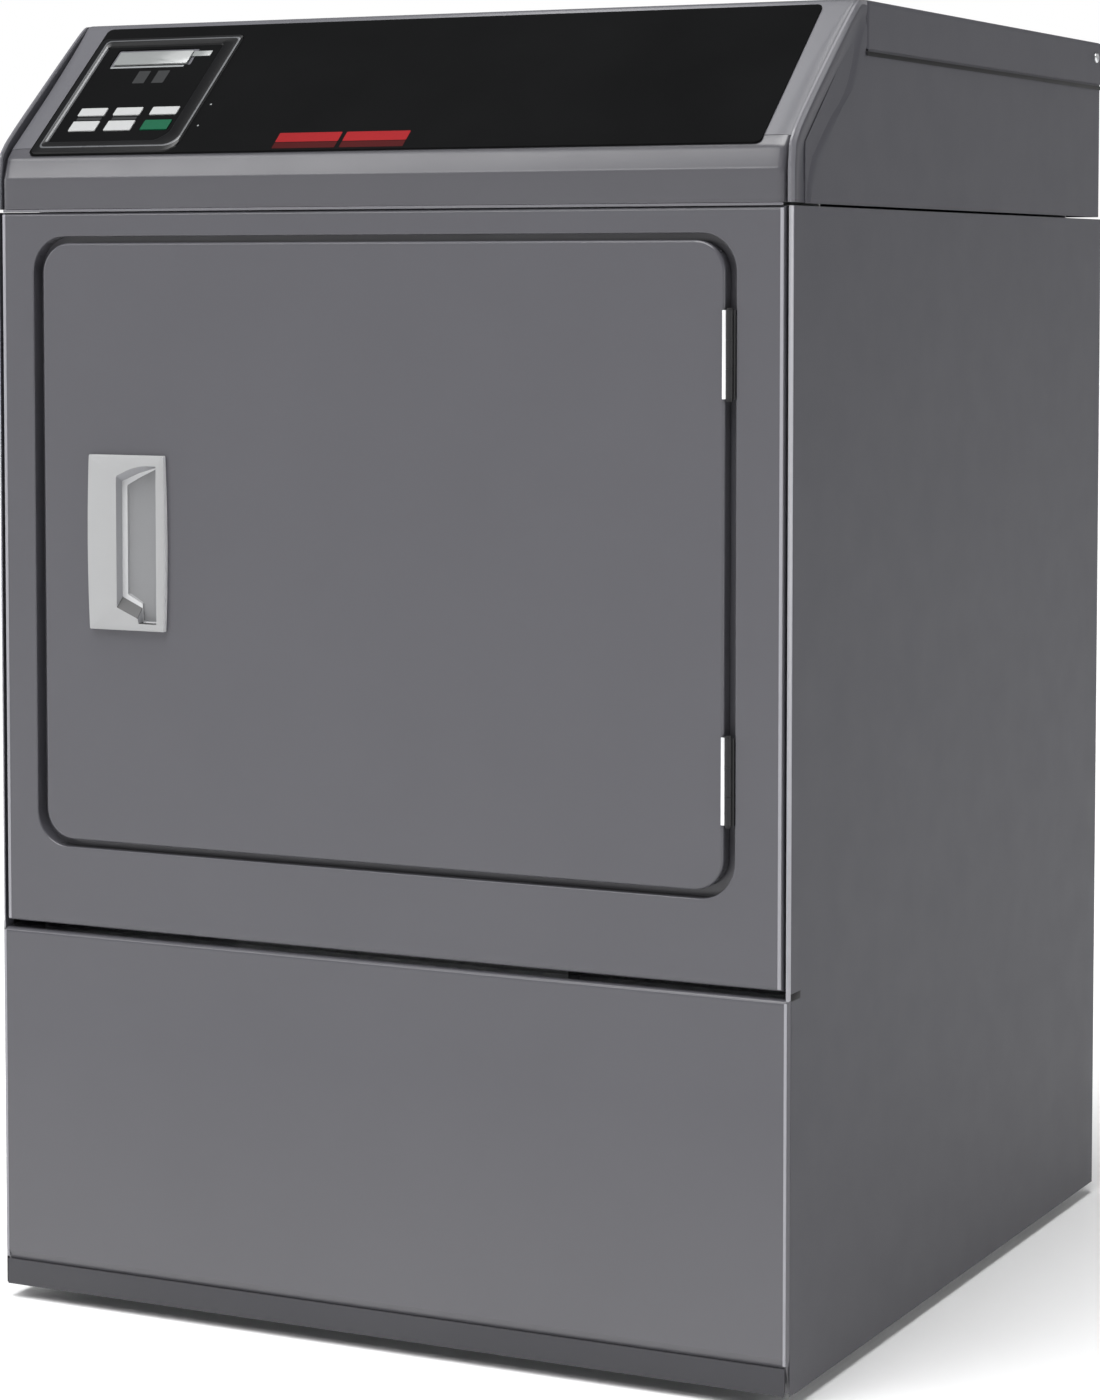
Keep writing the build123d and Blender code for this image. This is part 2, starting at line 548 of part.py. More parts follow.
def drum_baffles():
    """Three lifters along the drum."""
    foot = math.sqrt((DRUM_RADIUS - 1.15) ** 2 - 35.0 ** 2)
    tip = foot - 58.0
    y0, y1 = DRUM_FRONT + 25.0, DRUM_REAR - 30.0

    def body(inset):
        points = [(-35.0 + inset, foot + inset), (35.0 - inset, foot + inset),
                  (13.0 - inset * 0.8, tip + inset), (-13.0 + inset * 0.8, tip + inset)]
        solid = front_prism(points, y0 + inset, y1 - inset)
        crown = [edge for edge in solid.edges().filter_by(Axis.Y) if edge.center().Z < tip + inset + 1]
        return fillet(ShapeList(crown), 9.0 - inset)
    lifter = body(0.0) - body(2.5)
    return Compound([Pos(0, 0, AXIS_Z) * Rot(0, 90 - angle, 0) * lifter for angle in BAFFLE_ANGLES])


def roller_places():
    """Centres of the two support rollers under the drum."""
    reach = DRUM_RADIUS + ROLLER_RADIUS + 0.4
    angle = math.radians(ROLLER_ANGLE)
    return [(sign * reach * math.sin(angle), AXIS_Z - reach * math.cos(angle)) for sign in (-1, 1)]


def support_roller(x, z):
    """Tyred roller under the rear of the drum."""
    wheel = ring(x, z, ROLLER_RADIUS, SHAFT_RADIUS + 0.06, 208.0, 230.0)
    web = ring(x, z, 28.0, 14.0, 206.0, 213.0) + ring(x, z, 28.0, 14.0, 225.0, 232.0)
    return wheel - web


def roller_shafts():
    """Stub axles on the rear bulkhead, each with a shoulder and a retaining ring."""
    shafts = []
    for x, z in roller_places():
        shaft = rod(x, z, SHAFT_RADIUS, 203.0, BULKHEAD_REAR)
        shaft += rod(x, z, 10.0, 232.5, BULKHEAD_REAR) + rod(x, z, 9.0, 204.5, 206.5)
        shafts.append(shaft)
    return Compound(shafts)


def tangent(centre_a, radius_a, centre_b, radius_b):
    """Ends of the line that leaves circle a and meets circle b; a negative radius turns clockwise."""
    dx, dz = centre_b[0] - centre_a[0], centre_b[1] - centre_a[1]
    gap = math.hypot(dx, dz)
    lean = math.asin((radius_a - radius_b) / gap)
    heading = math.atan2(dz, dx) + lean
    side = (math.sin(heading), -math.cos(heading))
    start = (centre_a[0] + radius_a * side[0], centre_a[1] + radius_a * side[1])
    end = (centre_b[0] + radius_b * side[0], centre_b[1] + radius_b * side[1])
    return start, end


def belt_outline(drum, motor, idler):
    """Closed anticlockwise loop round the drum and the motor, with the idler pressing from outside."""
    circles = [((0.0, AXIS_Z), drum), ((IDLER_X, IDLER_Z), -idler), ((MOTOR_X, MOTOR_Z), motor)]
    spans = [tangent(*circles[i], *circles[(i + 1) % 3]) for i in range(3)]
    edges = []
    for i, (centre, radius) in enumerate(circles):
        arrive, leave = spans[i - 1][1], spans[i][0]
        a0 = math.atan2(arrive[1] - centre[1], arrive[0] - centre[0])
        a1 = math.atan2(leave[1] - centre[1], leave[0] - centre[0])
        turn = (a1 - a0) % math.tau if radius > 0 else -((a0 - a1) % math.tau)
        middle = (centre[0] + abs(radius) * math.cos(a0 + turn / 2),
                  centre[1] + abs(radius) * math.sin(a0 + turn / 2))
        edges.append(ThreePointArc(arrive, middle, leave))
        edges.append(Line(*spans[i]))
    return make_face(edges)


def drive_belt():
    """Flat belt round the drum, the idler and the motor pulley."""
    inner = (DRUM_RADIUS + BELT_GAP, PULLEY_RADIUS + BELT_GAP, IDLER_RADIUS + BELT_GAP + BELT_THICK)
    outer = (inner[0] + BELT_THICK, inner[1] + BELT_THICK, inner[2] - BELT_THICK)
    plane = Plane(origin=(0, BELT_Y + BELT_WIDTH / 2, 0), x_dir=(1, 0, 0), z_dir=(0, -1, 0))
    band = extrude(plane * belt_outline(*outer), amount=BELT_WIDTH)
    return band - extrude(plane * belt_outline(*inner), amount=BELT_WIDTH)


def motor_frame():
    """Motor body on its foot bracket, which also carries the idler arm's pivot."""
    y0, y1 = FRONT + 150.0, FRONT + 270.0
    body = rod(MOTOR_X, MOTOR_Z, 60.0, y0, y1) + rod(MOTOR_X, MOTOR_Z, 64.0, y0 + 25, y1 - 25)
    body = fillet(edges_at(body, "Y", y0) + edges_at(body, "Y", y1), 8.0)
    floor = BASE + 1.5
    body += block(MOTOR_X - 45, MOTOR_X + 45, y0 + 20, y0 + 24, floor, MOTOR_Z - 40)
    body += block(MOTOR_X - 80, MOTOR_X + 45, y1 - 24, y1 - 20, floor, MOTOR_Z - 40)
    body += block(MOTOR_X - 80, MOTOR_X + 45, y0 + 20, y1 - 20, floor, floor + 3)
    body += rod(ARM_PIVOT_X, ARM_PIVOT_Z, 5.0, y1 - 22, BELT_Y - 13.0)
    return body - rod(MOTOR_X, MOTOR_Z, SHAFT_RADIUS + 0.1, y0 - 5, y1 + 5)


def motor_pulley():
    """Crowned drive pulley with two flanges."""
    seat = rod(MOTOR_X, MOTOR_Z, PULLEY_RADIUS, BELT_Y - 7, BELT_Y + 7)
    for y in (BELT_Y - 7, BELT_Y + 5):
        seat += rod(MOTOR_X, MOTOR_Z, PULLEY_RADIUS + 4, y, y + 2)
    return seat - rod(MOTOR_X, MOTOR_Z, SHAFT_RADIUS, BELT_Y - 10, BELT_Y + 10)


def blower_wheel():
    """Squirrel-cage wheel: back plate, hub, blades and front ring."""
    y0, y1 = FRONT + 66.0, FRONT + 118.0
    wheel = rod(MOTOR_X, MOTOR_Z, 85.0, y1 - 2, y1) + rod(MOTOR_X, MOTOR_Z, 13.0, y1 - 26, y1)
    wheel += ring(MOTOR_X, MOTOR_Z, 85.0, 70.0, y0, y0 + 2)
    blade = block(66.0, 84.5, y0 + 1, y1 - 1, -0.9, 0.9)
    for i in range(24):
        wheel += Pos(MOTOR_X, 0, MOTOR_Z) * Rot(0, i * 15.0, 0) * blade
    return wheel - rod(MOTOR_X, MOTOR_Z, SHAFT_RADIUS, y0 - 1, y1 + 1)


def blower_housing():
    """Scroll case with a round inlet, a shaft hole and a round outlet."""
    def scroll(inset):
        y0, y1 = FRONT + 58.0 + inset, FRONT + 127.0 - inset
        return (rod(MOTOR_X, MOTOR_Z, 98.0 - inset, y0, y1)
                + block(-130.0 + inset, MOTOR_X, y0, y1, 42.0 + inset, 158.0 - inset))
    case = scroll(0.0) - scroll(2.0)
    case -= rod(MOTOR_X, MOTOR_Z, 62.0, FRONT + 50.0, FRONT + 65.0)
    case -= rod(MOTOR_X, MOTOR_Z, 12.0, FRONT + 120.0, FRONT + 130.0)
    return case - rod(DUCT_X, DUCT_Z, DUCT_RADIUS - SHEET, FRONT + 120.0, FRONT + 130.0)


def lint_duct():
    """Flat duct under the port: open to the outlet slits above and to the blower below."""
    y0, y1 = FRONT + 37.5, BULKHEAD_FRONT - CLEAR
    duct = block(-146.0, 146.0, y0, y1, 62.0, 419.0)
    duct -= block(-146.0 + SHEET, 146.0 - SHEET, y0 + SHEET, y1 - SHEET, 62.0 + SHEET, 425.0)
    duct -= block(-105.0, 105.0, y1 - 3, y1 + 3, 382.0, 425.0)
    return duct - rod(MOTOR_X, MOTOR_Z, 62.0, y1 - 4, y1 + 4)


def lint_filter():
    """Lift-out lint screen: frame with ribs, a fine web and a finger tab on top."""
    y0, y1 = FRONT + 42.0, FRONT + 51.0
    frame = block(-138.0, 138.0, y0, y1, 222.0, 424.0)
    frame -= block(-128.0, 128.0, y0 - 1, y1 + 1, 232.0, 412.0)
    frame += block(-128.0, 128.0, y0 + 3.5, y0 + 5.5, 231.0, 413.0)
    for x in (-66.0, 0.0, 66.0):
        frame += block(x - 2.0, x + 2.0, y0 + 1, y1 - 1, 231.0, 413.0)
    tab = block(-45.0, 45.0, y0 + 1.0, y1 - 1.0, 422.0, 446.0)
    return frame + fillet(tab.edges().filter_by(Axis.Y).sort_by(Axis.Z)[-2:], 8.0)


def exhaust_duct():
    """Straight pipe from the blower to the collar behind the cabinet, with a stop bead."""
    pipe = rod(DUCT_X, DUCT_Z, DUCT_RADIUS, FRONT + 127.1, REAR + COLLAR_OUT)
    pipe += rod(DUCT_X, DUCT_Z, DUCT_RADIUS + 4.0, REAR + 0.3, REAR + BEAD)
    return pipe - rod(DUCT_X, DUCT_Z, DUCT_RADIUS - SHEET, FRONT + 100.0, REAR + COLLAR_OUT + 9.0)


def idler_arm():
    """Sprung lever from its pivot to the idler's axle."""
    y0, y1 = BELT_Y - 18.0, BELT_Y - 14.0
    lean = math.degrees(math.atan2(IDLER_X - ARM_PIVOT_X, IDLER_Z - ARM_PIVOT_Z))
    length = math.hypot(IDLER_X - ARM_PIVOT_X, IDLER_Z - ARM_PIVOT_Z)
    arm = block(-9.0, 9.0, y0, y1, -6.0, length)
    arm = Pos(ARM_PIVOT_X, 0, ARM_PIVOT_Z) * Rot(0, lean, 0) * arm
    arm += rod(IDLER_X, IDLER_Z, 9.0, y0, y1) + rod(ARM_PIVOT_X, ARM_PIVOT_Z, 11.0, y0, y1)
    arm += rod(IDLER_X, IDLER_Z, 4.0, y1 - 1, BELT_Y + 10.0)
    return arm - rod(ARM_PIVOT_X, ARM_PIVOT_Z, 5.08, y0 - 1, y1 + 1)


def idler_pulley():
    """Plain pulley that presses on the belt."""
    return ring(IDLER_X, IDLER_Z, IDLER_RADIUS, 4.06, BELT_Y - 7.0, BELT_Y + 7.0)


def idler_spring():
    """Extension spring from the arm down to the base."""
    y, x = BELT_Y - 22.2, ARM_PIVOT_X - 14.0
    spring = post(x, y, 2.0, BASE + 1.5, 130.0)
    for i in range(12):
        spring += post(x, y, 3.8, 34.0 + i * 6.0, 37.0 + i * 6.0)
    return spring


def heater_housing():
    """Box behind the rear bulkhead that leads warm air into the perforated inlet."""
    y0, y1 = BULKHEAD_REAR + SHEET + CLEAR, REAR - 12.0
    box = block(8.0, 214.0, y0, y1, 552.0, 852.0)
    box -= block(8.0 + SHEET, 214.0 - SHEET, y0 - 1, y1 - SHEET, 552.0 - 1, 852.0 - SHEET)
    return box


def heater_coils():
    """Serpentine heating element across the housing."""
    y = (BULKHEAD_REAR + REAR) / 2
    coil = block(30.0, 36.0, y - 3, y + 3, 575.0, 581.0)
    for i in range(7):
        z = 580.0 + i * 36.0
        coil += Pos(111.0, y, z) * Rot(0, 90, 0) * Cylinder(3.2, 162.0)
        if i < 6:
            x = 190.0 if i % 2 == 0 else 32.0
            coil += post(x, y, 3.2, z, z + 36.0)
    return coil


def terminal_cover():
    """Cover of the supply terminals on the back, with a cable hole in its floor."""
    y0, y1 = REAR - SHEET - CLEAR, REAR + 30.0
    cover = block(150.0, 250.0, y0, y1, 120.0, 210.0)
    cover = fillet(edges_at(cover, "Y", y1), 3.0)
    cover -= block(152.0, 248.0, y0 - 1, y1 - 2.0, 122.0, 208.0)
    return cover - post(200.0, REAR + 14.0, 11.0, 110.0, 130.0)


def levelling_foot(x, y):
    """Rubber-soled foot on a threaded stem with a lock nut."""
    pad = Pos(x, y, 4.0) * Cylinder(19.0, 8.0)
    pad = fillet(pad.edges().sort_by(Axis.Z)[-1], 2.0)
    nut = Pos(x, y, 0) * extrude(Plane.XY.offset(7.5) * RegularPolygon(9.0, 6), amount=3.2)
    return pad + nut + post(x, y, STEM_RADIUS, 7.0, 58.0)


def main():
    """Builds and writes every piece."""
    os.makedirs("parts", exist_ok=True)
    shell = fascia_shell()
    switch_tip = LAND - 1.4
    pieces = {
        "base_pan": base_pan(),
        "left_side_panel": side_panel(-1),
        "right_side_panel": side_panel(1),
        "rear_panel": rear_panel(),
        "front_panel": front_panel(),
        "lower_access_panel": lower_access_panel(),
        "hood_shell": hood_shell(),
        "top_cover": top_cover(),
        "case_screws": case_screws(),
        "control_fascia": control_fascia(shell),
        "fascia_lower_trim": fascia_lower_trim(shell),
        "control_overlay": control_overlay(),
        "keypad_bezel": keypad_bezel(),
        "display_window": on_slope(DISPLAY, OVERLAY_BACK, OVERLAY_FRONT + 0.2, 1.0),
        "control_board": control_board(),
        "door_outer_panel": door_outer_panel(),
        "door_liner": door_liner(),
        "door_seal": door_seal(),
        "door_handle": door_handle(),
        "door_strike": block(-286.0, -262.0, FRONT + DOOR_DEPTH, LAND - 0.4, 597.0, 627.0),
        "door_catch": block(-283.0, -264.0, LAND - 0.2, LAND + 12.0, 600.0, 624.0),
        "hinge_door_leaves": hinge_door_leaves(),
        "hinge_frame_leaves": hinge_frame_leaves(),
        "hinge_pins": hinge_pins(),
        "door_switch_body": door_switch_body(),
        "door_switch_plunger": rod(SWITCH_X, SWITCH_Z, 3.0, switch_tip, switch_tip + 20.0),
        "front_bulkhead": front_bulkhead(),
        "rear_bulkhead": rear_bulkhead(),
        "drum_seals": drum_seals(),
        "drum_shell": drum_shell(),
        "drum_front_head": drum_front_head(),
        "drum_baffles": drum_baffles(),
        "roller_shafts": roller_shafts(),
        "drive_belt": drive_belt(),
        "motor_frame": motor_frame(),
        "motor_shaft": rod(MOTOR_X, MOTOR_Z, SHAFT_RADIUS, FRONT + 64.0, BELT_Y + 10.0),
        "motor_pulley": motor_pulley(),
        "blower_wheel": blower_wheel(),
        "blower_housing": blower_housing(),
        "lint_duct": lint_duct(),
        "lint_filter": lint_filter(),
        "exhaust_duct": exhaust_duct(),
        "idler_arm": idler_arm(),
        "idler_pulley": idler_pulley(),
        "idler_spring": idler_spring(),
        "heater_housing": heater_housing(),
        "heater_coils": heater_coils(),
        "terminal_cover": terminal_cover(),
        "start_key": key(2, 0),
    }
    for number, (column, row) in enumerate([(0, 0), (1, 0), (0, 1), (1, 1), (2, 1)], 1):
        pieces[f"program_key_{number}"] = key(column, row)
    for number, (x, z) in enumerate(roller_places(), 1):
        pieces[f"support_roller_{number}"] = support_roller(x, z)
    for number, (x, y) in enumerate(FEET, 1):
        pieces[f"levelling_foot_{number}"] = levelling_foot(x, y)
    for name, shape in pieces.items():
        save(name, shape)
    print(len(pieces), "pieces")


main()
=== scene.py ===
"""Looks of a front-control tumble dryer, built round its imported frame.

Everything is in metres: +X to the right seen from the front, +Y to the rear, +Z up.
"""

import logging
import math
from dataclasses import dataclass
from enum import Enum
from typing import Callable, Optional, Sequence

import bmesh
import bpy
from mathutils import Matrix, Vector

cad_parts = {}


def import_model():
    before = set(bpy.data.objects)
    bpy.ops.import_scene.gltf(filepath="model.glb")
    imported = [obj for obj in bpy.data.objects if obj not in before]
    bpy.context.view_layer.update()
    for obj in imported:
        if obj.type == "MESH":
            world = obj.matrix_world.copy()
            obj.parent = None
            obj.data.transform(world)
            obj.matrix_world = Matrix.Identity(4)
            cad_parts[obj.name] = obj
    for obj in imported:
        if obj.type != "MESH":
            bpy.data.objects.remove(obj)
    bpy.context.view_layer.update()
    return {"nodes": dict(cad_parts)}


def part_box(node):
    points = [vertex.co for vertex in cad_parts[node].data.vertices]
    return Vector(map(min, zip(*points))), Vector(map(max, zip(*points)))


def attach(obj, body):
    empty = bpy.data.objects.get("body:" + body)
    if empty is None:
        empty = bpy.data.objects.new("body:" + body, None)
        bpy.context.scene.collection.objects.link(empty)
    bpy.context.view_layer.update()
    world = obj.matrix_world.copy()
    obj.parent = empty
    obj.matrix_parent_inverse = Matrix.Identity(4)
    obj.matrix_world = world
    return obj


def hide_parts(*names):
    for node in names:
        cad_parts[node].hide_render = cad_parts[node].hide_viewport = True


LOG = logging.getLogger("dryer")
MM = 0.001
SHARP_ANGLE = math.radians(30.0)
Colour = tuple[float, float, float]
Point = tuple[float, float, float]


# ---- finishes -----------------------------------------------------------------------------
class Surface(Enum):
    """How a finish is structured close up."""

    POWDER_COAT = "powder coat"
    MOULDED = "moulded"
    BRUSHED = "brushed"
    GALVANISED = "galvanised"
    RUBBER = "rubber"
    FELT = "felt"
    LACQUER = "lacquer"
    CAST = "cast"


class NodeBench:
    """Lays out the shader nodes of one material."""

    def __init__(self, name: str) -> None:
        """Starts a material with an empty bench.

        Args:
            name: the material's name.
        """
        self.material = bpy.data.materials.new(name)
        self.material.use_nodes = True
        self.tree = self.material.node_tree
        self.shader = self.tree.nodes["Principled BSDF"]
        self.place = self.tree.nodes.new("ShaderNodeTexCoord").outputs["Object"]

    def stretched(self, scale: Point) -> bpy.types.NodeSocket:
        """Object coordinates scaled per axis.

        Args:
            scale: factor along X, Y and Z.

        Returns:
            The mapped vector socket.
        """
        node = self.tree.nodes.new("ShaderNodeMapping")
        node.inputs["Scale"].default_value = scale
        self.tree.links.new(self.place, node.inputs["Vector"])
        return node.outputs["Vector"]

    def noise(self, scale: float, detail: float = 2.0, stretch: Point = (1.0, 1.0, 1.0)) -> bpy.types.NodeSocket:
        """Smooth noise.

        Args:
            scale: cells per metre.
            detail: octaves.
            stretch: factor along each axis.

        Returns:
            The noise's value socket.
        """
        node = self.tree.nodes.new("ShaderNodeTexNoise")
        node.inputs["Scale"].default_value = scale
        node.inputs["Detail"].default_value = detail
        self.tree.links.new(self.stretched(stretch), node.inputs["Vector"])
        return node.outputs["Fac"]

    def cells(self, scale: float) -> bpy.types.NodeSocket:
        """Random tone per crystal-like cell.

        Args:
            scale: cells per metre.

        Returns:
            A colour socket that is even over each cell.
        """
        node = self.tree.nodes.new("ShaderNodeTexVoronoi")
        node.inputs["Scale"].default_value = scale
        self.tree.links.new(self.place, node.inputs["Vector"])
        return node.outputs["Color"]

    def spread(self, value: bpy.types.NodeSocket, low: float, high: float,
               start: float = 0.3, stop: float = 0.7) -> bpy.types.NodeSocket:
        """Maps a value's middle range onto another range.

        Args:
            value: the socket to map.
            low: result at start.
            high: result at stop.
            start: value that gives low.
            stop: value that gives high.

        Returns:
            The mapped value socket.
        """
        node = self.tree.nodes.new("ShaderNodeMapRange")
        node.inputs["From Min"].default_value = start
        node.inputs["From Max"].default_value = stop
        node.inputs["To Min"].default_value = low
        node.inputs["To Max"].default_value = high
        self.tree.links.new(value, node.inputs["Value"])
        return node.outputs["Result"]

    def tint(self, value: bpy.types.NodeSocket, dark: Colour, light: Colour) -> bpy.types.NodeSocket:
        """Colours a value from dark to light.

        Args:
            value: the socket to colour.
            dark: linear colour at 0.3.
            light: linear colour at 0.7.

        Returns:
            The colour socket.
        """
        node = self.tree.nodes.new("ShaderNodeValToRGB")
        node.color_ramp.elements[0].position = 0.3
        node.color_ramp.elements[1].position = 0.7
        node.color_ramp.elements[0].color = (*dark, 1.0)
        node.color_ramp.elements[1].color = (*light, 1.0)
        self.tree.links.new(value, node.inputs["Fac"])
        return node.outputs["Color"]

    def height(self) -> bpy.types.NodeSocket:
        """Height above the floor, in metres.

        Returns:
            The value socket.
        """
        node = self.tree.nodes.new("ShaderNodeSeparateXYZ")
        self.tree.links.new(self.place, node.inputs["Vector"])
        return node.outputs["Z"]

    def blend(self, share: bpy.types.NodeSocket, below: bpy.types.NodeSocket, above: Colour
              ) -> bpy.types.NodeSocket:
        """Lays an even colour over another one.

        Args:
            share: how much of the upper colour shows.
            below: the lower colour.
            above: the upper colour, linear.

        Returns:
            The mixed colour socket.
        """
        node = self.tree.nodes.new("ShaderNodeMix")
        node.data_type = "RGBA"
        self.tree.links.new(share, node.inputs[0])
        self.tree.links.new(below, node.inputs[6])
        node.inputs[7].default_value = (*above, 1.0)
        return node.outputs[2]

    def relief(self, value: bpy.types.NodeSocket, depth: float, under: Optional[bpy.types.NodeSocket] = None
               ) -> bpy.types.NodeSocket:
        """Turns a value into surface relief.

        Args:
            value: the height socket.
            depth: relief depth in metres.
            under: a normal that this relief lies on.

        Returns:
            The normal socket.
        """
        node = self.tree.nodes.new("ShaderNodeBump")
        node.inputs["Strength"].default_value = 1.0
        node.inputs["Distance"].default_value = depth
        self.tree.links.new(value, node.inputs["Height"])
        if under is not None:
            self.tree.links.new(under, node.inputs["Normal"])
        return node.outputs["Normal"]

    def wire(self, value: bpy.types.NodeSocket, socket: str) -> None:
        """Connects a value to one of the shader's sockets.

        Args:
            value: the output socket.
            socket: the shader socket's name.
        """
        self.tree.links.new(value, self.shader.inputs[socket])

    def fix(self, socket: str, value: float) -> None:
        """Sets one of the shader's own sockets.

        Args:
            socket: the shader socket's name.
            value: its value.
        """
        self.shader.inputs[socket].default_value = value


def linear(colour: Colour) -> Colour:
    """Display colour to linear light.

    Args:
        colour: red, green and blue from 0 to 1, as displayed.

    Returns:
        The same colour in linear light.
    """
    return tuple(c / 12.92 if c <= 0.04045 else ((c + 0.055) / 1.055) ** 2.4 for c in colour)


@dataclass(frozen=True)
class Finish:
    """One surface finish, with its colour and close-up structure."""

    name: str
    colour: Colour
    surface: Surface
    roughness: float
    mottle: float = 0.05
    grain: float = 900.0
    depth: float = 0.00002
    metallic: float = 0.0
    specular: float = 0.5
    lay: Point = (1.0, 1.0, 1.0)
    dust: float = 0.0

    def material(self) -> bpy.types.Material:
        """The finish as a material, made once.

        Returns:
            The material.
        """
        if self in MADE:
            return MADE[self]
        bench = NodeBench(self.name + "_finish")
        MADE[self] = bench.material
        bench.fix("Metallic", self.metallic)
        bench.fix("Specular IOR Level", self.specular)
        base = linear(self.colour)
        dark = tuple(c * (1 - self.mottle) for c in base)
        light = tuple(min(c * (1 + self.mottle), 1.0) for c in base)
        if self.surface is Surface.GALVANISED:
            tone = bench.cells(self.grain)
        elif self.surface is Surface.BRUSHED:
            tone = bench.noise(self.grain, 3.0, self.lay)
        else:
            tone = bench.noise(9.0, 4.0)
        shade = bench.tint(tone, dark, light)
        if self.dust:
            shade = bench.blend(bench.spread(bench.height(), self.dust, 0.0, 0.0, 0.22), shade, (0.55, 0.53, 0.50))
        bench.wire(shade, "Base Color")
        smear = bench.noise(26.0, 3.0)
        bench.wire(bench.spread(smear, self.roughness * 0.96, min(self.roughness * 1.05, 1.0)), "Roughness")
        bench.wire(self.structure(bench), "Normal")
        if self.surface is Surface.FELT:
            bench.fix("Sheen Weight", 0.35)
        return bench.material

    def structure(self, bench: NodeBench) -> bpy.types.NodeSocket:
        """Relief that suits the surface.

        Args:
            bench: the material's bench.

        Returns:
            The normal socket.
        """
        if self.surface is Surface.POWDER_COAT:
            peel = bench.relief(bench.noise(self.grain, 2.0), self.depth)
            return bench.relief(bench.noise(55.0, 1.0), self.depth * 2.0, peel)
        if self.surface is Surface.BRUSHED:
            return bench.relief(bench.noise(self.grain, 4.0, self.lay), self.depth)
        if self.surface is Surface.FELT:
            fluff = bench.relief(bench.noise(2600.0, 4.0), self.depth * 6.0)
            return bench.relief(bench.noise(300.0, 3.0), self.depth * 10.0, fluff)
        if self.surface is Surface.CAST:
            return bench.relief(bench.noise(self.grain, 5.0), self.depth * 3.0)
        return bench.relief(bench.noise(self.grain, 3.0), self.depth)


MADE: dict[Finish, bpy.types.Material] = {}
GRAPHITE = Finish("graphite_paint", (0.300, 0.298, 0.318), Surface.POWDER_COAT, 0.25, 0.02, 1100.0, 0.000005,
                  dust=0.04)
# Painted shade: a darker copy of the cabinet's one graphite paint, for the sides, hood, lid, lower side returns and
# end caps.
SHADED_SIDE_GRAPHITE = Finish("side_paint", (0.270, 0.269, 0.290), Surface.POWDER_COAT, 0.44, 0.015, 1100.0, 0.000005,
                       specular=0.12, dust=0.03)
# Painted highlight: a much lighter copy of the graphite paint for hems and bends where light glints.
EDGE_HIGHLIGHT = Finish("edge_painted_highlight", (0.560, 0.558, 0.580), Surface.POWDER_COAT, 0.20, 0.015, 1100.0, 0.000003)
FASCIA_GREY = Finish("fascia_plastic", (0.372, 0.372, 0.390), Surface.MOULDED, 0.26, 0.015, 1500.0, 0.000003)
# Painted shade: a darker copy of the fascia's grey plastic for the upright trim.
SHADED_TRIM_GREY = Finish("trim_painted_shade", (0.290, 0.288, 0.306), Surface.MOULDED, 0.26, 0.015, 1500.0, 0.000003)
# Painted highlight: a lighter grey for the end caps' ridges and the strip along the hood seam.
RIDGE_HIGHLIGHT_GREY = Finish("ridge_painted_highlight", (0.400, 0.398, 0.418), Surface.MOULDED, 0.24, 0.015, 1500.0, 0.000003)
# Painted shadow: near-black for strips that stand in for the shadow in the lower seam and under the lid's flange.
SEAM_SHADOW_BLACK = Finish("painted_seam_shadow", (0.070, 0.070, 0.074), Surface.RUBBER, 0.60, 0.08, 1400.0, 0.00001, specular=0.2)
# Painted shade: a darker copy of the graphite paint for a strip over the lower panel's bottom bevel.
TOE_SHADE_GREY = Finish("toe_painted_shade", (0.250, 0.249, 0.262), Surface.POWDER_COAT, 0.40, 0.03, 1100.0, 0.000005,
                  specular=0.2)
OVERLAY_BLACK = Finish("overlay_black", (0.080, 0.081, 0.083), Surface.LACQUER, 0.45, 0.10, 40.0, 0.000002,
                       specular=0.0)
BEZEL_GREY = Finish("bezel_plastic", (0.060, 0.061, 0.065), Surface.MOULDED, 0.30, 0.06, 1800.0, 0.000002,
                    specular=0.22)
# Painted highlight: a light grey for thin lines along the black keypad frame's edges.
BEZEL_HIGHLIGHT = Finish("bezel_painted_highlight", (0.330, 0.335, 0.345), Surface.MOULDED, 0.28, 0.05, 1800.0, 0.000002)
HANDLE_GREY = Finish("handle_plastic", (0.605, 0.607, 0.610), Surface.MOULDED, 0.42, 0.025, 2200.0, 0.000007)
# Painted shade: a darker copy of the pull's grey plastic for the pocket's wall.
POCKET_WALL_SHADE = Finish("pocket_wall_painted_shade", (0.560, 0.563, 0.575), Surface.MOULDED, 0.48, 0.04, 2200.0, 0.000007)
# Painted highlight: a paler copy of the pull's plastic for its ledge and right-facing sides.
PULL_HIGHLIGHT = Finish("pull_painted_highlight", (0.760, 0.762, 0.768), Surface.MOULDED, 0.42, 0.03, 2200.0, 0.000007)
# Painted shade: darker copies of the pull's grey plastic for the pocket's floor and lower step.
POCKET_FLOOR_SHADE = Finish("pocket_floor_painted_shade", (0.490, 0.493, 0.500), Surface.MOULDED, 0.5, 0.04, 2200.0, 0.000007)
POCKET_STEP_SHADE = Finish("pocket_step_painted_shade", (0.180, 0.181, 0.184), Surface.MOULDED, 0.5, 0.04, 2200.0, 0.000007)
KEY_WHITE = Finish("key_white", (0.640, 0.645, 0.645), Surface.MOULDED, 0.38, 0.02, 2600.0, 0.000004)
KEY_GREEN = Finish("key_green", (0.010, 0.300, 0.200), Surface.MOULDED, 0.45, 0.05, 2600.0, 0.000004,
                   specular=0.12)
LCD_GREY = Finish("display_glass", (0.500, 0.510, 0.508), Surface.LACQUER, 0.18, 0.05, 60.0, 0.000002)
PRINT_DEEP_RED = Finish("print_deep_red", (0.240, 0.050, 0.055), Surface.LACQUER, 0.50, 0.10, 900.0, 0.000003,
                        specular=0.04)
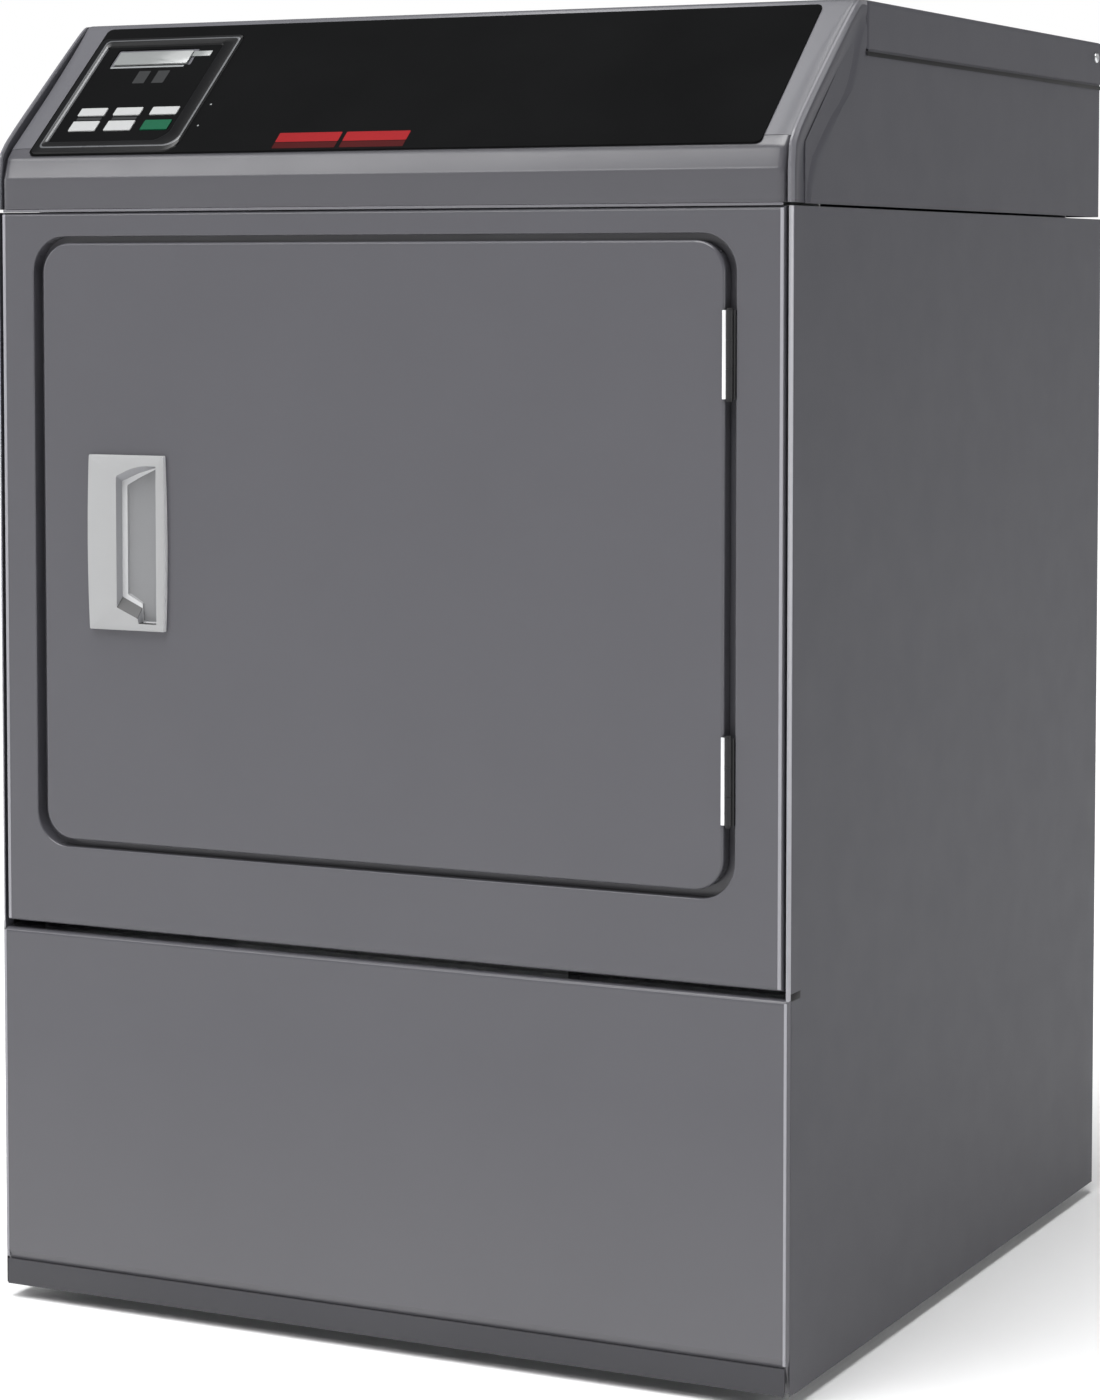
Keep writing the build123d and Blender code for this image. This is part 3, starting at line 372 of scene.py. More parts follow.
PRINT_RED = Finish("print_red", (0.510, 0.095, 0.110), Surface.LACQUER, 0.50, 0.14, 900.0, 0.000003, specular=0.05)
PRINT_GREY = Finish("print_grey", (0.170, 0.174, 0.178), Surface.LACQUER, 0.45, 0.06, 900.0, 0.000003, specular=0.1)
PRINT_PALE = Finish("print_pale", (0.520, 0.530, 0.535), Surface.LACQUER, 0.35, 0.06, 900.0, 0.000003)
ZINC = Finish("zinc_steel", (0.700, 0.705, 0.710), Surface.GALVANISED, 0.38, 0.06, 170.0, 0.000006, metallic=0.95)
PLATED = Finish("plated_steel", (0.820, 0.825, 0.830), Surface.BRUSHED, 0.30, 0.06, 500.0, 0.000004, metallic=0.95)
HINGE_STEEL = Finish("hinge_steel", (0.930, 0.935, 0.940), Surface.BRUSHED, 0.34, 0.04, 500.0, 0.000004,
                     metallic=0.55, lay=(6.0, 6.0, 0.4))
# Painted shade: a dark copy of the hinge steel for the hinges' leaves and pins, so they read as the shaded door
# gap.
HINGE_SHADE_DARK = Finish("hinge_painted_shade", (0.130, 0.130, 0.135), Surface.BRUSHED, 0.45, 0.05, 500.0, 0.000004,
                    specular=0.3)
STAINLESS = Finish("stainless", (0.800, 0.800, 0.795), Surface.BRUSHED, 0.33, 0.03, 420.0, 0.000001,
                   metallic=1.0, lay=(0.08, 1.0, 0.08))
LINER_WHITE = Finish("liner_enamel", (0.690, 0.695, 0.700), Surface.POWDER_COAT, 0.34, 0.03, 1300.0, 0.000006)
SEAL_RUBBER = Finish("seal_rubber", (0.130, 0.130, 0.132), Surface.RUBBER, 0.62, 0.10, 1400.0, 0.00002)
BELT_RUBBER = Finish("belt_rubber", (0.110, 0.110, 0.112), Surface.RUBBER, 0.66, 0.12, 900.0, 0.00003)
FOOT_RUBBER = Finish("foot_rubber", (0.140, 0.140, 0.142), Surface.RUBBER, 0.64, 0.10, 1200.0, 0.00003)
FELT_GREY = Finish("felt", (0.640, 0.620, 0.580), Surface.FELT, 0.95, 0.14, 900.0, 0.00003)
BAFFLE_GREY = Finish("baffle_plastic", (0.760, 0.765, 0.770), Surface.MOULDED, 0.40, 0.03, 1800.0, 0.000008)
DARK_MOULDING = Finish("dark_moulding", (0.260, 0.265, 0.272), Surface.MOULDED, 0.52, 0.08, 1500.0, 0.00001)
FILTER_GREY = Finish("filter_plastic", (0.500, 0.510, 0.520), Surface.MOULDED, 0.50, 0.06, 1500.0, 0.00001)
ALUMINIUM = Finish("duct_aluminium", (0.800, 0.805, 0.810), Surface.BRUSHED, 0.32, 0.08, 700.0, 0.000008,
                   metallic=1.0, lay=(1.0, 0.1, 1.0))
CAST_ALUMINIUM = Finish("cast_aluminium", (0.600, 0.605, 0.610), Surface.CAST, 0.52, 0.08, 700.0, 0.00002,
                        metallic=0.9)
COIL_STEEL = Finish("heated_steel", (0.360, 0.320, 0.300), Surface.BRUSHED, 0.48, 0.22, 200.0, 0.00001,
                    metallic=0.8)
BOARD_GREEN = Finish("board_green", (0.100, 0.300, 0.170), Surface.LACQUER, 0.35, 0.10, 500.0, 0.00001)
FLOOR_PALE = Finish("floor_pale", (0.985, 0.985, 0.985), Surface.MOULDED, 0.60, 0.01, 30.0, 0.00005)

NODE_FINISHES: dict[Finish, tuple[str, ...]] = {
    GRAPHITE: ("front_panel", "lower_access_panel", "door_outer_panel"),
    # Sides, hood and lid take the painted-shade copy of the graphite paint.
    SHADED_SIDE_GRAPHITE: ("left_side_panel", "right_side_panel", "hood_shell", "top_cover"),
    FASCIA_GREY: ("control_fascia", "fascia_lower_trim"),
    OVERLAY_BLACK: ("control_overlay",),
    BEZEL_GREY: ("keypad_bezel",),
    LCD_GREY: ("display_window",),
    KEY_WHITE: ("program_key_1", "program_key_2", "program_key_3", "program_key_4", "program_key_5",
                "door_switch_plunger"),
    KEY_GREEN: ("start_key",),
    HANDLE_GREY: ("door_handle",),
    ZINC: ("base_pan", "rear_panel", "front_bulkhead", "rear_bulkhead", "heater_housing", "lint_duct",
           "terminal_cover", "idler_arm", "motor_pulley", "door_strike"),
    LINER_WHITE: ("door_liner",),
    PLATED: ("case_screws", "roller_shafts", "motor_shaft", "idler_spring"),
    HINGE_SHADE_DARK: ("hinge_door_leaves", "hinge_frame_leaves", "hinge_pins"),
    STAINLESS: ("drum_shell", "drum_front_head"),
    SEAL_RUBBER: ("door_seal",),
    BELT_RUBBER: ("drive_belt",),
    FOOT_RUBBER: ("levelling_foot_1", "levelling_foot_2", "levelling_foot_3", "levelling_foot_4"),
    FELT_GREY: ("drum_seals",),
    BAFFLE_GREY: ("drum_baffles",),
    DARK_MOULDING: ("blower_wheel", "blower_housing", "support_roller_1", "support_roller_2", "idler_pulley",
                    "door_catch", "door_switch_body"),
    FILTER_GREY: ("lint_filter",),
    ALUMINIUM: ("exhaust_duct",),
    CAST_ALUMINIUM: ("motor_frame",),
    COIL_STEEL: ("heater_coils",),
    BOARD_GREEN: ("control_board",),
}


def dress_nodes(nodes: dict[str, bpy.types.Object]) -> None:
    """Gives every carried-over piece its finish.

    Args:
        nodes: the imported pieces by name.
    """
    for finish, names in NODE_FINISHES.items():
        for name in names:
            piece = nodes.get(name)
            if piece is None:
                LOG.warning("no piece named %s", name)
                continue
            for slot in piece.material_slots:
                slot.material = finish.material()
            LOG.info("%s: %s", name, finish.name)


# ---- forms --------------------------------------------------------------------------------
class Form:
    """A mesh in the making."""

    def __init__(self) -> None:
        """Starts an empty mesh."""
        self.bm = bmesh.new()

    def block(self, low: Sequence[float], high: Sequence[float]) -> list[bmesh.types.BMVert]:
        """Adds a box between two corners.

        Args:
            low: lowest corner.
            high: highest corner.

        Returns:
            The box's vertices.
        """
        low, high = Vector(low), Vector(high)
        made = bmesh.ops.create_cube(self.bm, size=1.0)["verts"]
        bmesh.ops.scale(self.bm, vec=high - low, verts=made)
        bmesh.ops.translate(self.bm, vec=(low + high) / 2, verts=made)
        return made

    def plate(self, place: Matrix, size: tuple[float, float], radius: float, thick: float,
              steps: int = 6) -> list[bmesh.types.BMVert]:
        """Adds a rounded rectangle lying in place's XY and rising along its Z.

        Args:
            place: where its centre lies and how it is turned.
            size: width and height.
            radius: corner radius.
            thick: thickness.
            steps: segments per corner.

        Returns:
            The plate's vertices.
        """
        before = set(self.bm.verts)
        made = bmesh.ops.create_grid(self.bm, x_segments=1, y_segments=1, size=0.5)["verts"]
        bmesh.ops.scale(self.bm, vec=(size[0], size[1], 1.0), verts=made)
        if radius > 0:
            bmesh.ops.bevel(self.bm, geom=made, offset=radius, offset_type="OFFSET", affect="VERTICES",
                            segments=steps, profile=0.5, material=-1)
        base = [v for v in self.bm.verts if v not in before]
        faces = list({f for v in base for f in v.link_faces})
        risen = bmesh.ops.extrude_face_region(self.bm, geom=faces)["geom"]
        lifted = [g for g in risen if isinstance(g, bmesh.types.BMVert)]
        bmesh.ops.translate(self.bm, vec=(0, 0, thick), verts=lifted)
        made = [v for v in self.bm.verts if v not in before]
        bmesh.ops.transform(self.bm, matrix=place, verts=made)
        return made

    def outline(self, place: Matrix, corners: Sequence[tuple[float, float, float]],
                steps: int = 4) -> list[bmesh.types.BMEdge]:
        """Adds a closed wire with rounded corners in place's XY.

        Args:
            place: where the outline lies.
            corners: x, y and rounding of each corner, in order.
            steps: segments per rounded corner.

        Returns:
            The wire's edges.
        """
        before = set(self.bm.edges)
        verts = [self.bm.verts.new((x, y, 0.0)) for x, y, _ in corners]
        self.bm.faces.new(verts)
        old = set(self.bm.verts) - set(verts)
        for vert, (_, _, radius) in zip(verts, corners):
            if radius > 0:
                bmesh.ops.bevel(self.bm, geom=[vert], offset=radius, offset_type="OFFSET", affect="VERTICES",
                                segments=steps, profile=0.5, material=-1)
        made = [v for v in self.bm.verts if v not in old]
        bmesh.ops.transform(self.bm, matrix=place, verts=made)
        faces = list({f for v in made for f in v.link_faces})
        bmesh.ops.delete(self.bm, geom=faces, context="FACES_ONLY")
        return [e for e in self.bm.edges if e not in before]

    def bridge(self, first: list[bmesh.types.BMEdge], second: list[bmesh.types.BMEdge], material: int = 0) -> None:
        """Joins two closed wires with a band of faces.

        Args:
            first: one wire.
            second: the other wire.
            material: the faces' material index.
        """
        for face in bmesh.ops.bridge_loops(self.bm, edges=first + second)["faces"]:
            face.material_index = material

    def fill(self, edges: list[bmesh.types.BMEdge], material: int = 0) -> None:
        """Closes a flat wire, or the band between two flat wires.

        Args:
            edges: the wires.
            material: the faces' material index.
        """
        made = bmesh.ops.triangle_fill(self.bm, edges=edges, use_beauty=True, use_dissolve=False)["geom"]
        for face in (g for g in made if isinstance(g, bmesh.types.BMFace)):
            face.material_index = material

    def drawn(self, edges: list[bmesh.types.BMEdge], step: Sequence[float], material: int = 0
              ) -> list[bmesh.types.BMEdge]:
        """Extrudes a wire and moves the new one.

        Args:
            edges: the wire.
            step: how far the new wire moves.
            material: the new faces' material index.

        Returns:
            The new wire's edges.
        """
        made = bmesh.ops.extrude_edge_only(self.bm, edges=edges)["geom"]
        verts = [g for g in made if isinstance(g, bmesh.types.BMVert)]
        bmesh.ops.translate(self.bm, vec=step, verts=verts)
        fresh = set(verts)
        for face in (g for g in made if isinstance(g, bmesh.types.BMFace)):
            face.material_index = material
        return [g for g in made if isinstance(g, bmesh.types.BMEdge) and set(g.verts) <= fresh]

    def skin(self, across: int, along: int, spot: Callable[[int, int], Vector],
             paint: Callable[[int], int]) -> list[bmesh.types.BMFace]:
        """Lays a sheet of quads whose corners a function places.

        Args:
            across: quads across.
            along: quads along.
            spot: place of the corner with those two counts.
            paint: material index of the quads in that column.

        Returns:
            The sheet's faces.
        """
        made = bmesh.ops.create_grid(self.bm, x_segments=across, y_segments=along, size=0.5)["verts"]
        for face in {f for v in made for f in v.link_faces}:
            face.material_index = paint(round((min(v.co.x for v in face.verts) + 0.5) * across))
        for vert in made:
            column = round((vert.co.x + 0.5) * across)
            row = round((vert.co.y + 0.5) * along)
            vert.co = spot(column, row)
        return list({f for v in made for f in v.link_faces})

    def thicken(self, faces: list[bmesh.types.BMFace], depth: float) -> None:
        """Gives a sheet a wall.

        Args:
            faces: the sheet.
            depth: wall thickness.
        """
        bmesh.ops.solidify(self.bm, geom=faces, thickness=depth)

    def soften(self, radius: float, segments: int = 2) -> None:
        """Rounds the sharp edges.

        Args:
            radius: bevel width.
            segments: bevel segments.
        """
        self.bm.normal_update()
        sharp = [e for e in self.bm.edges if e.is_manifold and e.calc_face_angle(0.0) > SHARP_ANGLE]
        bmesh.ops.bevel(self.bm, geom=sharp, offset=radius, offset_type="OFFSET", affect="EDGES",
                        segments=segments, profile=0.5, material=-1, clamp_overlap=True)

    def finish(self, name: str, body: str, finishes: Sequence[Finish], slot: str,
               replaces: Sequence[str] = (), smooth: float = 35.0) -> bpy.types.Object:
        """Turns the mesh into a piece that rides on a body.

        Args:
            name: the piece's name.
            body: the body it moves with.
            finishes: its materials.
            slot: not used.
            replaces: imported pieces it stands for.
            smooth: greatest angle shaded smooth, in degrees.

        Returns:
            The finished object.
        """
        bmesh.ops.remove_doubles(self.bm, verts=self.bm.verts, dist=0.000001)
        bmesh.ops.recalc_face_normals(self.bm, faces=self.bm.faces)
        mesh = bpy.data.meshes.new(name)
        self.bm.to_mesh(mesh)
        self.bm.free()
        for finish in finishes:
            mesh.materials.append(finish.material())
        mesh.shade_smooth()
        mesh.set_sharp_from_angle(angle=math.radians(smooth))
        piece = bpy.data.objects.new(name, mesh)
        bpy.context.scene.collection.objects.link(piece)
        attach(piece, body)
        if replaces:
            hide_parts(*replaces)
        LOG.info("%s: %d faces on %s", name, len(mesh.polygons), body)
        return piece


def front_y() -> float:
    """The plane of the cabinet's front face.

    Returns:
        Its Y.
    """
    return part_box("door_outer_panel")[0].y


# ---- cabinet ------------------------------------------------------------------------------
@dataclass
class SideSheet:
    """Folded side of the cabinet, hemmed along its front edge."""

    half: float = 341.5
    wall: float = 1.2
    split: float = 301.0

    def section(self, side: float, full: bool) -> list[tuple[float, float, float]]:
        """Outline seen from above.

        Args:
            side: -1 on the left, +1 on the right.
            full: with the hem, or cut back behind the lower front.

        Returns:
            x, y and rounding of each corner, in metres.
        """
        depth = (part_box("right_side_panel")[1].y - front_y()) / MM
        inside, back = self.half - self.wall, depth - self.wall
        hem = [(inside - 0.9, 12.0, 0.0), (338.3, 12.0, 0.0), (338.3, 0.2, 0.5), (339.0, 0.0, 0.4),
               (self.half, 2.9, 1.0)]
        cut = [(inside, 20.3, 0.0), (self.half, 20.3, 0.0)]
        rear = [(self.half, depth, 1.7), (326.5, depth, 0.0), (326.5, back, 0.0), (inside, back, 0.6)]
        turn = [(inside, 3.9, 0.5), (inside - 0.9, 2.7, 0.3)]
        points = hem + rear + turn if full else cut + rear
        return [(side * x * MM, front_y() + y * MM, r * MM) for x, y, r in points]

    def build(self) -> None:
        """Makes both sides."""
        for side, name in ((-1.0, "left"), (1.0, "right")):
            low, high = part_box(name + "_side_panel")
            form = Form()
            for full, z0, z1 in ((True, self.split * MM, high.z), (False, low.z, self.split * MM)):
                foot = form.outline(Matrix.Translation((0, 0, z0)), self.section(side, full), 4)
                head = form.drawn(foot, (0, 0, z1 - z0))
                form.fill(foot)
                form.fill(head)
            bmesh.ops.recalc_face_normals(form.bm, faces=form.bm.faces[:])
            # The hem's faces get the painted highlight.
            for face in form.bm.faces:
                if face.calc_center_median().y < front_y() + 3.0 * MM:
                    face.material_index = 1
            form.finish("side_sheet_" + name, "cabinet", [SHADED_SIDE_GRAPHITE, EDGE_HIGHLIGHT], "side_paint",
                        [name + "_side_panel"], 5.0)


@dataclass
class Edging:
    """Painted edge highlights, a seam strip with a painted highlight, strips of painted seam shadow, skins in the
    sides' painted-shade tone over the lower returns and a toe strip of painted shade, with the door's hinge strips.
    """

    hinge_levels: tuple[float, float] = (458.0, 766.5)
    hinge_half: float = 32.0

    def strip(self, form: Form, x: tuple[float, float], y: tuple[float, float], z: tuple[float, float]) -> None:
        """Adds a strip, its depth measured from the front face, sizes in millimetres.

        Args:
            form: the mesh.
            x: left and right.
            y: front and back, behind the front face.
            z: bottom and top.
        """
        form.block((x[0] * MM, front_y() + y[0] * MM, z[0] * MM), (x[1] * MM, front_y() + y[1] * MM, z[1] * MM))

    def build(self) -> None:
        """Makes every strip."""
        edges, seam_shadows, toe, returns, hinges, bead = (Form() for _ in range(6))
        for side in (-1.0, 1.0):
            for form, reach, y, z in (
                    # painted highlight along the front panel's side bends
                    (edges, (332.0, 334.7), (-0.35, 0.8), (309.5, 871.5)),
                    # painted highlight along the lower panel's front corners
                    (edges, (337.2, 339.4), (-0.3, 2.6), (34.0, 299.6)),
                    # dark strip painting the lower seam's shadow where it wraps onto the side
                    (seam_shadows, (338.4, 341.62), (2.8, 20.4), (301.2, 306.4)),
                    # dark strip painting the shadow line under the lid's side flange
                    (seam_shadows, (341.3, 341.62), (143.0, 709.0), (986.4, 989.6)),
                    # skins that give the lower panel's side returns the sides' painted-shade tone
                    (returns, (341.3, 341.62), (3.0, 20.2), (11.4, 300.8))):
                near, far = sorted((side * reach[0], side * reach[1]))
                self.strip(form, (near, far), y, z)
        # strip along the hood seam that carries a painted highlight
        self.strip(bead, (-334.0, 334.0), (-0.25, 1.2), (873.2, 875.2))
        for level in self.hinge_levels:
            self.strip(hinges, (287.2, 290.2), (-0.7, 0.3), (level - self.hinge_half, level + self.hinge_half))
        # strip of painted shade over the lower panel's bottom bevel
        self.strip(toe, (-338.6, 338.6), (-0.12, 1.5), (11.6, 32.0))
        for form, rounding, steps, name, body, finish, slot in (
                (bead, 0.3, 2, "seam_painted_highlight", "cabinet", RIDGE_HIGHLIGHT_GREY, "side_paint"),
                (edges, 0.3, 2, "painted_edge_highlights", "cabinet", EDGE_HIGHLIGHT, "side_paint"),
                (seam_shadows, 0.3, 2, "painted_seam_shadows", "cabinet", SEAM_SHADOW_BLACK, "seal_rubber"),
                (returns, 0.1, 1, "return_shade_skins", "cabinet", SHADED_SIDE_GRAPHITE, "side_paint"),
                (hinges, 0.3, 2, "hinge_cover_strips", "door", HINGE_STEEL, "screw_steel"),
                (toe, 0.25, 2, "toe_shade_strip", "cabinet", TOE_SHADE_GREY, "side_paint")):
            form.soften(rounding * MM, steps)
            form.finish(name, body, [finish], slot)


@dataclass
class BackDetails:
    """Stiffening beads and a plain plate on the back."""

    bead_places: tuple[tuple[float, float, float, float], ...] = (
        (-312.0, 470.0, 9.0, 700.0), (312.0, 470.0, 9.0, 700.0), (-130.0, 485.0, 9.0, 319.0),
        (130.0, 485.0, 9.0, 319.0), (0.0, 640.0, 430.0, 9.0), (0.0, 330.0, 430.0, 9.0))
    bead_corner: float = 4.4
    bead_rise: float = 1.5
    plate_level: float = 0.755
    plate_size: tuple[float, float] = (0.11, 0.062)
    plate_corner: float = 0.003
    plate_rise: float = 0.0009

    def build(self) -> None:
        """Makes the details."""
        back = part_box("rear_panel")[1].y
        upright = Matrix.Rotation(math.radians(-90), 4, "X")
        beads, plate = Form(), Form()
        for x, z, width, height in self.bead_places:
            beads.plate(Matrix.Translation((x * MM, back - 0.4 * MM, z * MM)) @ upright,
                        (width * MM, height * MM), self.bead_corner * MM, self.bead_rise * MM, 5)
        beads.soften(0.6 * MM, 2)
        beads.finish("rear_beads", "cabinet", [ZINC], "inner_steel")
        plate.plate(Matrix.Translation((0.0, back - 0.2 * MM, self.plate_level)) @ upright, self.plate_size,
                    self.plate_corner, self.plate_rise, 4)
        plate.soften(0.0003, 2)
        plate.finish("blank_plate", "cabinet", [PLATED], "screw_steel")


# ---- door ---------------------------------------------------------------------------------
@dataclass
class DoorPull:
    """Moulded pull with bowed sides and a stepped finger pocket."""

    left: float = -252.7
    right: float = -184.4
    low: float = 546.0
    high: float = 683.4
    bow: float = 1.6
    proud: float = 4.5
    moved: tuple[float, float] = (4.3, 3.4)
    sill_depth: float = 7.4
    ledge_depth: float = 7.6
    floor_depth: float = 8.8
    heel_depth: float = 11.0
    heel_inset: float = 3.6
    bends: tuple[float, ...] = (-0.94, -0.8, -0.6, -0.35, 0.0, 0.35, 0.6, 0.8, 0.94)
    step_top: float = 0.573

    def ring(self, form: Form, depth: float, corners: Sequence[tuple[float, float, float]]
             ) -> list[bmesh.types.BMEdge]:
        """One upright wire of the pocket.

        Args:
            form: the mesh.
            depth: how far it lies behind the pull's face, in millimetres.
            corners: x, z and rounding of each corner, in millimetres.

        Returns:
            The wire.
        """
        place = Matrix.Translation((0, front_y() + (depth - self.proud) * MM, 0))
        upright = place @ Matrix.Rotation(math.radians(90), 4, "X")
        return form.outline(upright, [(x * MM, z * MM, r * MM) for x, z, r in corners], 5)

    def hollow(self, form: Form, depth: float, corners: Sequence[tuple[float, float, float]]
               ) -> list[bmesh.types.BMEdge]:
        """One upright wire of the finger pocket, moved to its place in the pull.

        Args:
            form: the mesh.
            depth: how far it lies behind the pull's face, in millimetres.
            corners: x, z and rounding of each corner, in millimetres.

        Returns:
            The wire.
        """
        return self.ring(form, depth, [(x + self.moved[0], z + self.moved[1], r) for x, z, r in corners])

    def rim(self, form: Form, depth: float, inset: float, bowed: bool = True) -> list[bmesh.types.BMEdge]:
        """One wire round the pull's outside.

        Args:
            form: the mesh.
            depth: how far it lies behind the pull's face, in millimetres.
            inset: how far it lies inside the outline, in millimetres.
            bowed: whether the long sides bow outwards.

        Returns:
            The wire.
        """
        x0, x1, z0, z1 = self.left + inset, self.right - inset, self.low + inset, self.high - inset
        middle, half = (z0 + z1) / 2, (z1 - z0) / 2
        bow = self.bow if bowed else 0.0
        rising = [(x1 + bow * (1 - t * t), middle + half * t, 0.0) for t in self.bends]
        falling = [(x0 - bow * (1 - t * t), middle - half * t, 0.0) for t in self.bends]
        corners = [(x0, z0, 0.9), (x1, z0, 0.9), *rising, (x1, z1, 0.9), (x0, z1, 0.9), *falling]
        return self.ring(form, depth, corners)

    def build(self) -> bpy.types.Object:
        """Makes the pull.

        Returns:
            The finished piece.
        """
        form = Form()
        mouth = self.hollow(form, 0.0, [
            (-195.0, 671.8, 0.8), (-213.0, 671.8, 9.0), (-231.5, 663.5, 1.2), (-231.5, 560.5, 0.8),
            (-212.3, 552.3, 0.5), (-211.5, 548.4, 0.5), (-195.0, 548.2, 0.8)])
        sill = self.hollow(form, self.sill_depth, [
            (-195.2, 671.4, 0.8), (-215.5, 665.6, 2.0), (-230.6, 659.2, 1.2), (-230.6, 568.4, 0.8),
            (-212.4, 560.2, 0.5), (-211.8, 548.8, 0.5), (-195.2, 548.6, 0.8)])
        ledge = self.hollow(form, self.ledge_depth, [
            (-195.4, 671.0, 0.8), (-213.8, 662.6, 2.0), (-225.8, 656.2, 1.0), (-225.8, 570.4, 0.8),
            (-212.2, 563.4, 0.5), (-211.6, 549.2, 0.5), (-195.4, 549.0, 0.8)])
        floor = self.hollow(form, self.floor_depth, [
            (-195.9, 670.0, 0.8), (-213.6, 661.6, 2.0), (-224.6, 655.2, 1.0), (-224.6, 571.4, 0.8),
            (-212.0, 564.4, 0.5), (-211.4, 550.0, 0.5), (-195.9, 549.8, 0.8)])
        face, shoulder = self.rim(form, 0.0, 1.1), self.rim(form, 0.35, 0.3)
        side, back = self.rim(form, 1.2, 0.0), self.rim(form, self.proud, 0.0)
        neck = self.rim(form, self.proud, self.heel_inset, False)
        heel = self.rim(form, self.heel_depth, self.heel_inset, False)
        form.fill(face + mouth)
        form.bridge(face, shoulder)
        form.bridge(shoulder, side)
        form.bridge(side, back)
        form.bridge(back, neck)
        form.bridge(neck, heel)
        form.fill(heel)
        # The pocket's wall and floor bands get painted shade; the ledge band gets the painted highlight.
        form.bridge(mouth, sill, 1)
        form.bridge(sill, ledge, 3)
        form.bridge(ledge, floor, 4)
        form.fill(floor, 4)
        bmesh.ops.recalc_face_normals(form.bm, faces=form.bm.faces[:])
        # Up-facing faces of the lower step get a deeper painted shade.
        for piece in form.bm.faces:
            middle = piece.calc_center_median()
            if piece.material_index == 1 and piece.normal.z > 0.35 and middle.z < self.step_top:
                piece.material_index = 2
            # Faces turned to the right get the painted highlight.
            if piece.material_index == 0 and piece.normal.x > 0.6:
                piece.material_index = 3
        paints = [HANDLE_GREY, POCKET_WALL_SHADE, POCKET_STEP_SHADE, PULL_HIGHLIGHT, POCKET_FLOOR_SHADE]
        return form.finish("door_pull", "door", paints, "handle_plastic", ["door_handle"], 32.0)


